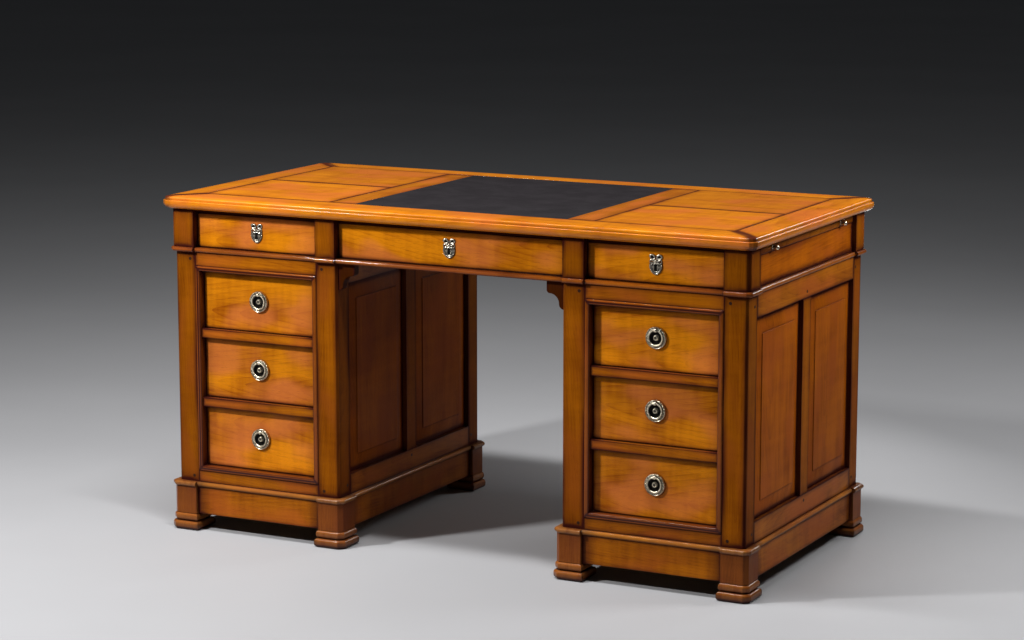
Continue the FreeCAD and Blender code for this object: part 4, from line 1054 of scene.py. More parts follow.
def smooth_line(corners: Sequence[Point], steps: int, closed: bool) -> list[Point]:
    """A smooth line through some points.

    Args:
        corners: The points that the line goes through.
        steps: How many points it has from each one to the next.
        closed: Whether it comes back to its start.

    Returns:
        The points of the line.
    """
    count = len(corners)
    line = []
    for index in range(count if closed else count - 1):
        if closed:
            a, b, c, d = (Vector(corners[(index + step) % count]) for step in (-1, 0, 1, 2))
        else:
            places = (max(index - 1, 0), index, index + 1, min(index + 2, count - 1))
            a, b, c, d = (Vector(corners[place]) for place in places)
        for step in range(steps):
            t = step / steps
            bend = (2 * a - 5 * b + 4 * c - d) * t * t + (3 * b - a - 3 * c + d) * t * t * t
            line.append(tuple(0.5 * (2 * b + (c - a) * t + bend)))
    if not closed:
        line.append(tuple(corners[-1]))
    return line


def pierced_plate(
    outline: Sequence[Point], holes: Sequence[Sequence[Point]], thickness: float, round_over: float
) -> Mesh:
    """A flat plate with holes and rounded edges, in the XY plane with its back at zero.

    Args:
        outline: The plate's outer line.
        holes: The line of each hole.
        thickness: How thick the plate is.
        round_over: The radius of its edges.

    Returns:
        The plate's mesh.
    """
    curve = bpy.data.curves.new("plate", "CURVE")
    curve.dimensions = "2D"
    curve.fill_mode = "BOTH"
    curve.extrude = thickness / 2 - round_over
    curve.bevel_depth = round_over
    curve.bevel_resolution = 2
    curve.offset = -round_over
    for line in (outline, *holes):
        spline = curve.splines.new("POLY")
        spline.points.add(len(line) - 1)
        spline.use_cyclic_u = True
        for point, (x, y) in zip(spline.points, line):
            point.co = (x, y, 0.0, 1.0)
    holder = bpy.data.objects.new("plate", curve)
    bpy.context.scene.collection.objects.link(holder)
    bpy.context.view_layer.update()
    evaluated = holder.evaluated_get(bpy.context.evaluated_depsgraph_get())
    mesh = bpy.data.meshes.new_from_object(evaluated)
    bpy.data.objects.remove(holder)
    bpy.data.curves.remove(curve)
    mesh.transform(Matrix.Translation((0.0, 0.0, thickness / 2)))
    return mesh


# ---- Joinery: the frame's boards, eased and given their grain ----


class Run(Enum):
    """How the grain of a node's boards runs."""

    LENGTHWISE = "along each board"
    MITRED = "along each board, with mitred ends"
    LINING = "round a lining, mitred at its corners"


@dataclass
class Board:
    """One board of a carried node: its box and the order of its axes."""

    # Sides that are equal to this many digits of a metre keep the order of the axes.
    SIDE_DIGITS = 5

    low: Vector
    high: Vector
    seeds: tuple[float, float]

    @classmethod
    def around(cls, faces: Sequence[BMFace], seeds: tuple[float, float]) -> "Board":
        """The board that some faces enclose.

        Args:
            faces: All the faces of the board.
            seeds: Its two seeds.

        Returns:
            The board.
        """
        corners = [vert.co for face in faces for vert in face.verts]
        low = Vector(min(corner[axis] for corner in corners) for axis in range(3))
        high = Vector(max(corner[axis] for corner in corners) for axis in range(3))
        return cls(low, high, seeds)

    @property
    def centre(self) -> Vector:
        """The middle of the board."""
        return (self.low + self.high) / 2

    @property
    def half(self) -> Vector:
        """Half the size of the board."""
        return (self.high - self.low) / 2

    @property
    def axes(self) -> tuple[int, int, int]:
        """The board's axes, from its length to its thickness."""
        ordered = sorted(range(3), key=lambda axis: -round(self.half[axis], self.SIDE_DIGITS))
        return ordered[0], ordered[1], ordered[2]

    def mitre(self, reach: Vector) -> float:
        """Which way the mitres open: 1 or -1 towards the board's outer side, 0 if square.

        Args:
            reach: How far the whole ring of rails extends from the middle, along each axis.

        Returns:
            The way that the mitres open.
        """
        length, width, _ = self.axes
        off_centre = self.centre[width]
        is_outer = abs(off_centre) + self.half[width] > reach[width] - MM
        reaches_corner = self.half[length] > reach[length] - CORNER_SLACK
        return math.copysign(1.0, off_centre) if is_outer and reaches_corner else 0.0


@dataclass(frozen=True)
class Strip:
    """The straight piece of wood that a face belongs to: axes, half size, middle and mitre."""

    axes: tuple[int, int, int]
    half: Vector
    middle: Vector
    mitre: float


class GrainLayers:
    """What a carried mesh tells its material about each face and each corner of it."""

    def __init__(self, shape: BMesh) -> None:
        """Add the empty layers to a mesh under construction."""
        self.grain = shape.loops.layers.float_vector.new("grain")
        self.extent = shape.loops.layers.float_vector.new("extent")
        self.board = shape.loops.layers.float_vector.new("board")
        self.arris = shape.faces.layers.float.new("arris")

    def mark(
        self, face: BMFace, strip: Strip, seeds: tuple[float, float], polish: float
    ) -> None:
        """Fill the layers of one face.

        Args:
            face: The face.
            strip: The piece of wood that it belongs to.
            seeds: The board's two seeds.
            polish: How bright the varnish is rubbed, from 0 to 1, which also lightens the colour as
                painted highlight.
        """
        face[self.arris] = polish
        for loop in face.loops:
            place = loop.vert.co - strip.middle
            loop[self.grain] = Vector(place[axis] for axis in strip.axes)
            loop[self.extent] = Vector(strip.half[axis] for axis in strip.axes)
            loop[self.board] = Vector((*seeds, strip.mitre))


class Joinery:
    """Carries the frame's wooden nodes over into eased boards that know their own grain."""

    # How wide the strips of a drawer's lining are taken to be, halved.
    LINING_HALF = 6.0 * MM

    def __init__(self, frame: Mapping[str, Any]) -> None:
        """Keep the frame and make no material yet."""
        self.frame = frame
        self.materials: dict[str, Material] = {}

    def dress(self, piece: Object, finish: Any, node: str) -> Object:
        """Give a piece its finish and let it stand for a node.

        Args:
            piece: The new piece.
            finish: The finish it takes.
            node: The node that it replaces and whose body it rides on.

        Returns:
            The same piece.
        """
        if finish.name not in self.materials:
            self.materials[finish.name] = finish.material()
        piece.data.materials.clear()
        piece.data.materials.append(self.materials[finish.name])
        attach(piece, self.frame["nodes"][node]["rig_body"])
        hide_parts(node)
        log.info("%s stands for %s in %s", piece.name, node, finish.name)
        return piece

    def carry(
        self,
        node: str,
        name: str,
        finish: Any,
        run: Run = Run.LENGTHWISE,
        arris: float = 0.7 * MM,
        wanted: Optional[Callable[[Board], bool]] = None,
        rubbed: Optional[Shade] = None,
        worn: Optional[Callable[[BMesh], None]] = None,
    ) -> Object:
        """Carry a node's boards over.

        Args:
            node: The frame's node.
            name: The new piece's name.
            finish: Its finish.
            run: How the grain runs.
            arris: How far its sharp edges are eased.
            wanted: Which boards to keep, where a node is shared by two pieces.
            rubbed: How bright the varnish is rubbed at a place, from 0 to 1, which also lightens
                the colour as painted highlight.
            worn: What wears the boards' edges away before they are eased.

        Returns:
            The new piece.
        """
        shape = self._separate_boards(node)
        if worn:
            worn(shape)
        eased = self._ease(shape, arris)
        layers = GrainLayers(shape)
        chance = random.Random(node)
        low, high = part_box(node)
        reach = Vector(max(-low[axis], high[axis]) for axis in range(3))
        unwanted = []
        for faces in self._islands(shape):
            board = Board.around(faces, (chance.random(), chance.random()))
            if wanted and not wanted(board):
                unwanted += faces
                continue
            for face in faces:
                polish = rubbed(face.calc_center_median()) if rubbed else 0.0
                strip = self._strip(board, face, run, reach)
                # Eased arrises count as fully rubbed: worn varnish, with painted highlight from the
                # worn colour.
                layers.mark(face, strip, board.seeds, 1.0 if face in eased else polish)
        bmesh.ops.delete(shape, geom=unwanted, context="FACES")
        mesh = bpy.data.meshes.new(name)
        shape.to_mesh(mesh)
        shape.free()
        return self.dress(linked(name, mesh, ARRIS_ANGLE), finish, node)

    def _separate_boards(self, node: str) -> BMesh:
        """A node's mesh as boards that share no point, with whole flat faces.

        Args:
            node: The frame's node.

        Returns:
            The mesh under construction.
        """
        shape = bmesh.new()
        shape.from_mesh(self.frame["nodes"][node].data)
        bmesh.ops.remove_doubles(shape, verts=shape.verts, dist=MERGE_DISTANCE)
        for faces in self._islands(shape)[1:]:
            bmesh.ops.split(shape, geom=faces)
        bmesh.ops.dissolve_limit(
            shape, angle_limit=FLAT_ANGLE, verts=shape.verts, edges=shape.edges
        )
        return shape

    @staticmethod
    def _ease(shape: BMesh, arris: float) -> set[BMFace]:
        """Ease the sharp edges.

        Args:
            shape: The boards, which change in place.
            arris: How far the edges are eased.

        Returns:
            The faces of the eased edges.
        """
        sharp = [edge for edge in shape.edges if edge.calc_face_angle(0.0) > ARRIS_ANGLE]
        eased = bmesh.ops.bevel(
            shape,
            geom=sharp,
            offset=arris,
            segments=2,
            profile=0.5,
            affect="EDGES",
            clamp_overlap=True,
        )
        return set(eased["faces"])

    @staticmethod
    def _islands(shape: BMesh) -> list[list[BMFace]]:
        """The faces of each separate board, in a fixed order."""
        seen: set[BMFace] = set()
        islands = []
        for start in shape.faces:
            if start in seen:
                continue
            seen.add(start)
            island = [start]
            for face in island:
                inner = [edge for edge in face.edges if edge.is_manifold]
                for beside in (beside for edge in inner for beside in edge.link_faces):
                    if beside not in seen:
                        seen.add(beside)
                        island.append(beside)
            islands.append(island)
        return islands

    def _strip(self, board: Board, face: BMFace, run: Run, reach: Vector) -> Strip:
        """The strip that a face belongs to.

        Args:
            board: The board that the face is part of.
            face: The face.
            run: How the grain runs.
            reach: How far the whole node extends from the middle, along each axis.

        Returns:
            The whole board, or one side of a lining.
        """
        if run is not Run.LINING:
            mitre = board.mitre(reach) if run is Run.MITRED else 0.0
            return Strip(board.axes, board.half, board.centre, mitre)
        place = face.calc_center_median() - board.centre
        is_upright = board.half.x - abs(place.x) < board.half.z - abs(place.z)
        length, width = (2, 0) if is_upright else (0, 2)
        outward = math.copysign(1.0, place[width])
        middle = board.centre.copy()
        middle[width] += outward * (board.half[width] - self.LINING_HALF)
        half = board.half.copy()
        half[width] = self.LINING_HALF
        return Strip((length, width, 1), half, middle, outward)


# ---- The desk's sub-assemblies ----


CHERRY_TOP = CherryFinish(
    "cherry_top_varnish",
    "cherry_top",
    patina=(0.075, 0.013, 0.003),
    edge_width=0.019,
    edge_strength=0.54,
    joint_width=0.0115,
    joint_strength=0.60,
    ring_pitch=0.009,
    relief=0.04,
    gloss=0.10,
    coat=0.45,
    rubbed_coat=0.30,
    coat_roughness=0.14,
)
CHERRY_CROSS = replace(
    CHERRY_TOP,
    name="cherry_cross_rail_varnish",
    pale=(0.50, 0.155, 0.004),
    edge_width=0.034,
    edge_strength=0.55,
)
CHERRY_FRAME = CherryFinish(
    "cherry_frame_varnish",
    "cherry_frame",
    pale=(0.43, 0.126, 0.003),
    deep=(0.19, 0.042, 0.002),
    blush=(0.40, 0.092, 0.012),
    edge_width=0.011,
    edge_strength=0.55,
)
CHERRY_BEAD = CherryFinish(
    "cherry_bead_varnish",
    "cherry_frame",
    pale=(0.38, 0.102, 0.005),
    deep=(0.18, 0.040, 0.003),
    blush=(0.32, 0.072, 0.012),
    joint_strength=0.40,
    relief=0.12,
    roughness=0.20,
    coat=0.34,
)
CHERRY_LINING = replace(
    CHERRY_BEAD,
    name="cherry_lining_varnish",
    pale=(0.25, 0.062, 0.004),
    deep=(0.12, 0.025, 0.002),
    blush=(0.22, 0.048, 0.008),
    joint_width=0.0035,
    joint_strength=0.80,
)
CHERRY_POST = CherryFinish(
    "cherry_post_varnish",
    "cherry_frame",
    pale=(0.285, 0.080, 0.002),
    deep=(0.132, 0.029, 0.001),
    blush=(0.25, 0.059, 0.006),
    edge_width=0.014,
    edge_strength=0.80,
    end_strength=0.35,
    curl_strength=0.25,
    gloss=0.01,
    coat=0.02,
)
# A lighter cherry than the posts': painted light on the muntins, where light falls in the kneehole.
CHERRY_MUNTIN = CherryFinish(
    "cherry_muntin_varnish",
    "cherry_frame",
    pale=(0.34, 0.096, 0.002),
    deep=(0.15, 0.034, 0.001),
    blush=(0.28, 0.066, 0.006),
    edge_width=0.010,
    edge_strength=0.50,
    curl_strength=0.25,
    gloss=0.01,
    coat=0.02,
)
CHERRY_BLOCK = CherryFinish(
    "cherry_block_varnish",
    "cherry_frame",
    pale=(0.23, 0.062, 0.009),
    deep=(0.115, 0.026, 0.005),
    blush=(0.21, 0.050, 0.013),
    edge_width=0.012,
    edge_strength=0.60,
    curl_strength=0.25,
    coat=0.12,
    rubbed_coat=2.20,
    coat_roughness=0.16,
)
CHERRY_PLINTH = CherryFinish(
    "cherry_plinth_varnish",
    "cherry_frame",
    pale=(0.46, 0.134, 0.004),
    deep=(0.20, 0.044, 0.002),
    blush=(0.42, 0.098, 0.012),
    edge_width=0.010,
    edge_strength=0.40,
    end_width=0.045,
    end_strength=0.65,
    curl_strength=0.70,
    bar_strength=0.80,
    coat=0.07,
    rubbed_coat=0.70,
)
# Painted shade: cherry darkened for pieces that stand in shadow, the brackets set back in the
# kneehole and the thin rails under the top's overhang.
CHERRY_PAINTED_SHADE = CherryFinish(
    "cherry_painted_shade_varnish",
    "cherry_frame",
    pale=(0.062, 0.015, 0.001),
    deep=(0.028, 0.006, 0.001),
    blush=(0.050, 0.011, 0.001),
    gloss=0.01,
    coat=0.03,
)
CHERRY_PANEL = CherryFinish(
    "cherry_panel_varnish",
    "cherry_panel",
    pale=(0.42, 0.105, 0.0025),
    deep=(0.19, 0.038, 0.002),
    blush=(0.34, 0.074, 0.008),
    edge_width=0.022,
    edge_strength=0.45,
    # A short reach: painted shade along the foot of each raised field's step, with some patina.
    recess_reach=0.014,
    recess_span=(0.02, 0.24),
    ring_pitch=0.008,
    gloss=0.01,
    coat=0.05,
)
CHERRY_DRAWER = CherryFinish(
    "cherry_drawer_varnish",
    "cherry_drawer",
    pale=(0.66, 0.212, 0.004),
    deep=(0.29, 0.066, 0.002),
    blush=(0.64, 0.175, 0.040),
    edge_width=0.010,
    edge_strength=0.48,
    recess_reach=0.014,
    recess_strength=0.55,
    ring_pitch=0.0115,
    ring_strength=0.40,
    taper=0.16,
    cloud_strength=0.80,
    band_strength=0.45,
    fibre_strength=0.65,
    bar_strength=0.60,
)
# Painted shade: the slides' cherry is darkened because they lie in the shadow under the top's
# overhang.
CHERRY_SLIDE_IN_SHADE = replace(
    CHERRY_DRAWER,
    name="cherry_slide_shade_varnish",
    pale=(0.30, 0.090, 0.003),
    deep=(0.14, 0.031, 0.001),
    blush=(0.26, 0.065, 0.012),
)
INNER_WOOD = InnerWoodFinish()
PEG_WOOD = PegFinish()
DESK_LEATHER = LeatherFinish()
AGED_SILVER = SilverFinish()
DULL_SILVER = SilverFinish(
    "dull_silver_plate", bright=(0.74, 0.68, 0.56), dull=(0.30, 0.26, 0.20)
)
LOCK_STEEL = SteelFinish()


@dataclass(frozen=True)
class RolledEdge:
    """The top's moulded edge after years of use: rolled over above its step, fuller below it.

    A depth is measured down from the surface of the top.
    """

    cant: float = 14.0 * MM
    lip: float = 4.0 * MM
    lip_depth: float = 6.0 * MM
    roll_width: float = 22.0 * MM
    roll_drop: float = 4.0 * MM
    roll_end_depth: float = 20.0 * MM
    belly_top_depth: float = 11.0 * MM
    belly_fall: float = 3.0 * MM
    # Where the rails are cut into strips, in millimetres from the lip and from the surface.
    roll_cuts: Sequence[float] = (0.5, 1.5, 3.5, 6.0, 9.5, 14.0, 18.0, 22.0)
    belly_cuts: Sequence[float] = (11.0, 13.0, 15.5)
    # A point belongs to the canted corner where that is nearer than the sides by this.
    corner_margin: float = 0.1 * MM
    # Cut points closer to a plane than this lie on it.
    cut_distance: float = 1e-6

    def wear(self, shape: BMesh) -> None:
        """Cut the rails into strips along their outer edge and move the strips.

        Args:
            shape: The rails, which change in place.
        """
        reach = Vector(max(abs(vert.co[axis]) for vert in shape.verts) for axis in range(3))
        underside = min(vert.co.z for vert in shape.verts)
        for cut in self.roll_cuts:
            depth = self.lip + cut * MM
            for normal, distance in self._outer_planes(reach):
                self._slice(shape, normal * (distance - depth), normal)
        for cut in self.belly_cuts:
            self._slice(shape, Vector((0, 0, reach.z - cut * MM)), Vector((0, 0, 1)))
        for vert in shape.verts:
            self._move(vert.co, reach, underside)

    def _outer_planes(self, reach: Vector) -> list[tuple[Vector, float]]:
        """The direction and the distance of the eight sides of the top's outline."""
        planes = []
        for x, y in ((1, 0), (0, 1), (-1, 0), (0, -1)):
            planes.append((Vector((x, y, 0)), abs(x) * reach.x + abs(y) * reach.y))
        corner = (reach.x + reach.y - self.cant) * math.sqrt(0.5)
        for x, y in ((1, 1), (-1, 1), (-1, -1), (1, -1)):
            planes.append((Vector((x, y, 0)) * math.sqrt(0.5), corner))
        return planes

    def _slice(self, shape: BMesh, place: Vector, normal: Vector) -> None:
        """Cut every face that a plane crosses."""
        parts = [*shape.verts, *shape.edges, *shape.faces]
        bmesh.ops.bisect_plane(
            shape, geom=parts, dist=self.cut_distance, plane_co=place, plane_no=normal
        )

    def _move(self, place: Vector, reach: Vector, underside: float) -> None:
        """Move one point of the rails to where wear leaves it.

        Args:
            place: The point, which changes in place.
            reach: How far the top extends from the middle of the floor, along each axis.
            underside: The height of the top's underside.
        """
        gap_x = reach.x - abs(place.x)
        gap_y = reach.y - abs(place.y)
        gap_corner = (gap_x + gap_y - self.cant) * math.sqrt(0.5)
        gap = min(gap_x, gap_y, gap_corner)
        depth = reach.z - place.z
        rolled = clamped(1.0 - (gap - self.lip) / self.roll_width)
        held = clamped((self.roll_end_depth - depth) / (self.roll_end_depth - self.lip_depth))
        belly = reach.z - self.belly_top_depth
        below = clamped((belly - place.z) / (belly - underside))
        place.z -= self.roll_drop * sagitta(rolled) * held
        if gap > self.cant:
            return
        inward = self.belly_fall * sagitta(below)
        at_corner = gap_corner < min(gap_x, gap_y) - self.corner_margin
        along_x = 0.5 if at_corner else float(gap_x < gap_y)
        place.x -= math.copysign(inward * along_x, place.x)
        place.y -= math.copysign(inward * (1.0 - along_x), place.y)


@dataclass
class DeskTop:
    """The moulded top: mitred rails, boards, and the leather let into them."""

    rail_arris: float = 0.9 * MM
    board_arris: float = 0.4 * MM
    edge: RolledEdge = RolledEdge()
    # A rail is a cross rail where it lies nearer to the middle than this many of its half lengths.
    cross_rail_share: float = 1.5
    leather_fall: float = 0.5 * MM
    leather_roll: float = 2.2 * MM
    leather_roll_steps: Sequence[float] = (0.0, 0.2, 0.45, 0.7, 1.0)
    leather_steps: int = 40

    def build(self, joinery: Joinery) -> None:
        """Build and dress the top.

        Args:
            joinery: What carries the boards over.
        """
        joinery.carry(
            "top_frame",
            "top_mitred_rails",
            CHERRY_TOP,
            Run.MITRED,
            self.rail_arris,
            lambda board: not self._is_cross_rail(board),
            worn=self.edge.wear,
        )
        joinery.carry("top_frame", "top_cross_rails", CHERRY_CROSS, wanted=self._is_cross_rail)
        joinery.carry("top_boards", "top_side_boards", CHERRY_TOP, arris=self.board_arris)
        joinery.dress(self._leather(), DESK_LEATHER, "writing_leather")

    def _is_cross_rail(self, board: Board) -> bool:
        """Whether a board of the top's frame runs from front to back beside the leather."""
        is_near = abs(board.centre.x) < board.half.y * self.cross_rail_share
        return board.axes[0] == 1 and is_near

    def _leather(self) -> Object:
        """The leather: a thin sheet whose edges roll down into the frame.

        Returns:
            The sheet.
        """
        low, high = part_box("writing_leather")
        columns = self._stations(low.x, high.x)
        rows = self._stations(low.y, high.y)
        points = []
        for y in rows:
            for x in columns:
                gap = min(x - low.x, high.x - x, y - low.y, high.y - y)
                sink = max(0.0, 1.0 - gap / self.leather_roll) ** 2
                points.append(Vector((x, y, high.z - self.leather_fall * sink)))
        points += [Vector((point.x, point.y, low.z)) for point in points]
        draft = Draft()
        draft.add(points, sheet_faces(len(columns), len(rows)), Matrix.Identity(4))
        return draft.piece("leather_inset")

    def _stations(self, low: float, high: float) -> list[float]:
        """Places across the sheet, close together at its rolled edges."""
        roll = [self.leather_roll * share for share in self.leather_roll_steps]
        start = low + self.leather_roll
        step = (high - low - 2 * self.leather_roll) / self.leather_steps
        inner = [start + step * count for count in range(1, self.leather_steps)]
        return [low + gap for gap in roll] + inner + [high - gap for gap in reversed(roll)]


@dataclass
class Frieze:
    """The band under the top: posts, beads, panels, and the frame that the drawers run in."""

    arris: float = 0.9 * MM
    bead_arris: float = 0.3 * MM
    rail_height: float = 8.5 * MM

    def build(self, joinery: Joinery) -> None:
        """Build and dress the frieze.

        Args:
            joinery: What carries the boards over.
        """
        joinery.carry("frieze_posts", "frieze_canted_posts", CHERRY_POST, arris=self.arris)
        joinery.carry("frieze_bead", "frieze_beads", CHERRY_BEAD, arris=self.bead_arris)
        joinery.carry("frieze_panels", "frieze_end_panels", CHERRY_PANEL, arris=self.arris)
        # The thin rails under the top take painted shade, as they lie in its shadow.
        joinery.carry("frieze_frame", "frieze_top_rails", CHERRY_PAINTED_SHADE, wanted=self._is_rail)
        joinery.carry(
            "frieze_frame",
            "frieze_runner_boards",
            INNER_WOOD,
            wanted=lambda board: not self._is_rail(board),
        )

    def _is_rail(self, board: Board) -> bool:
        """Whether a board of the frieze's frame is one of the thin rails above the drawers."""
        is_thin = 2 * board.half.z < self.rail_height
        return is_thin and board.axes[0] == 0


@dataclass
class Pedestals:
    """Both pedestals: posts, rails, raised panels, linings, runners, floors and pegs."""

    frame_arris: float = 1.0 * MM
    panel_arris: float = 0.9 * MM
    lining_arris: float = 0.7 * MM
    bracket_arris: float = 0.6 * MM
    peg_arris: float = 0.25 * MM
    middle_depth: float = 100.0 * MM

    def build(self, joinery: Joinery) -> None:
        """Build and dress the pedestals.

        Args:
            joinery: What carries the boards over.
        """
        for side in SIDES:
            node = f"{side}_pedestal_frame"
            for part, finish, wanted in (
                ("posts", CHERRY_POST, self._is_post),
                ("muntins", CHERRY_MUNTIN, self._is_muntin),
                ("rails", CHERRY_FRAME, lambda board: board.axes[0] != 2),
            ):
                name = f"{side}_pedestal_{part}"
                joinery.carry(node, name, finish, arris=self.frame_arris, wanted=wanted)
        joinery.carry("pedestal_panels", "raised_panels", CHERRY_PANEL, arris=self.panel_arris)
        joinery.carry(
            "drawer_surrounds", "drawer_linings", CHERRY_LINING, Run.LINING, self.lining_arris
        )
        joinery.carry("drawer_runners", "drawer_runner_bars", INNER_WOOD)
        joinery.carry("pedestal_floors", "pedestal_floor_boards", INNER_WOOD)
        # The brackets take painted shade, as they stand back in the kneehole's shadow.
        joinery.carry(
            "kneehole_brackets", "ogee_brackets", CHERRY_PAINTED_SHADE, arris=self.bracket_arris
        )
        joinery.carry("dowel_pegs", "joint_pegs", PEG_WOOD, arris=self.peg_arris)

    def _is_post(self, board: Board) -> bool:
        """Whether a board is a corner post."""
        return board.axes[0] == 2 and abs(board.centre.y) > self.middle_depth

    def _is_muntin(self, board: Board) -> bool:
        """Whether a board stands between two panels."""
        return board.axes[0] == 2 and abs(board.centre.y) < self.middle_depth


@dataclass
class Plinth:
    """The plinth: boards between canted blocks on moulded feet."""

    arris: float = 0.8 * MM
    bead_height: float = 104.0 * MM
    foot_height: float = 42.0 * MM
    # Rubbed places get a glossier coat and, as painted highlight, a lighter colour.
    bead_polish_and_highlight: float = 0.22
    foot_polish_and_highlight: float = 0.12

    def build(self, joinery: Joinery) -> None:
        """Build and dress the plinth.

        Args:
            joinery: What carries the boards over.
        """
        for node, name, finish in (
            ("plinth_boards", "plinth_moulded_boards", CHERRY_PLINTH),
            ("plinth_blocks", "plinth_feet", CHERRY_BLOCK),
        ):
            joinery.carry(node, name, finish, arris=self.arris, rubbed=self._polish_and_highlight)

    def _polish_and_highlight(self, place: Vector) -> float:
        """How bright the varnish is rubbed, with painted highlight, on the bead above and on the
        feet's mouldings below.
        """
        if place.z > self.bead_height:
            return self.bead_polish_and_highlight
        return self.foot_polish_and_highlight if place.z < self.foot_height else 0.0


@dataclass
class WritingSlides:
    """The pull-out slides at both ends, each with two small turned knobs.

    A knob is a flange, a neck and a ball, and its lengths are measured out from the slide.
    """

    arris: float = 0.5 * MM
    flange_radius: float = 4.6 * MM
    flange_end: float = 0.9 * MM
    neck_radius: float = 3.0 * MM
    neck_start: float = 1.6 * MM
    neck_end: float = 3.4 * MM
    ball_radius: float = 5.6 * MM
    ball_start: float = 4.3 * MM
    ball_collar: float = 0.62
    ball_fullness: float = 0.8
    ball_steps: int = 11
    segments: int = 40

    def build(self, joinery: Joinery) -> None:
        """Build and dress both slides.

        Args:
            joinery: What carries the boards over.
        """
        for side in SIDES:
            board = f"{side}_writing_slide"
            joinery.carry(board, f"{side}_slide_board", CHERRY_SLIDE_IN_SHADE, arris=self.arris)
            knobs = f"{side}_slide_knobs"
            joinery.dress(self._knobs(side, knobs), AGED_SILVER, knobs)

    def _knobs(self, side: str, node: str) -> Object:
        """Two turned knobs in the places of a node.

        Args:
            side: Which end of the desk.
            node: The node that gives their places.

        Returns:
            Both knobs as one piece.
        """
        low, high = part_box(node)
        reach = (high.z - low.z) / 2
        outward, start_x = (1.0, low.x) if side == "right" else (-1.0, high.x)
        profile = self._profile(high.x - low.x)
        draft = Draft()
        for y in (low.y + reach, high.y - reach):
            at = Matrix.Translation((start_x, y, (low.z + high.z) / 2))
            placing = at @ Matrix.Rotation(outward * math.pi / 2, 4, "Y")
            draft.lathe(profile, self.segments, placing)
        return draft.piece(f"{side}_turned_knobs")

    def _profile(self, length: float) -> list[Point]:
        """The radius and the height of each point of a knob of the given length."""
        profile = [
            (0.0, 0.0),
            (self.flange_radius, 0.0),
            (self.flange_radius, self.flange_end),
            (self.neck_radius, self.neck_start),
            (self.neck_radius, self.neck_end),
            (self.ball_radius * self.ball_collar, self.ball_start),
        ]
        for step in range(1, self.ball_steps):
            turn = math.pi * step / self.ball_steps
            radius = self.ball_radius * math.sin(turn) ** self.ball_fullness
            height = (length - self.ball_start) * (1 - math.cos(turn)) / 2
            profile.append((radius, self.ball_start + height))
        return profile + [(0.0, length)]


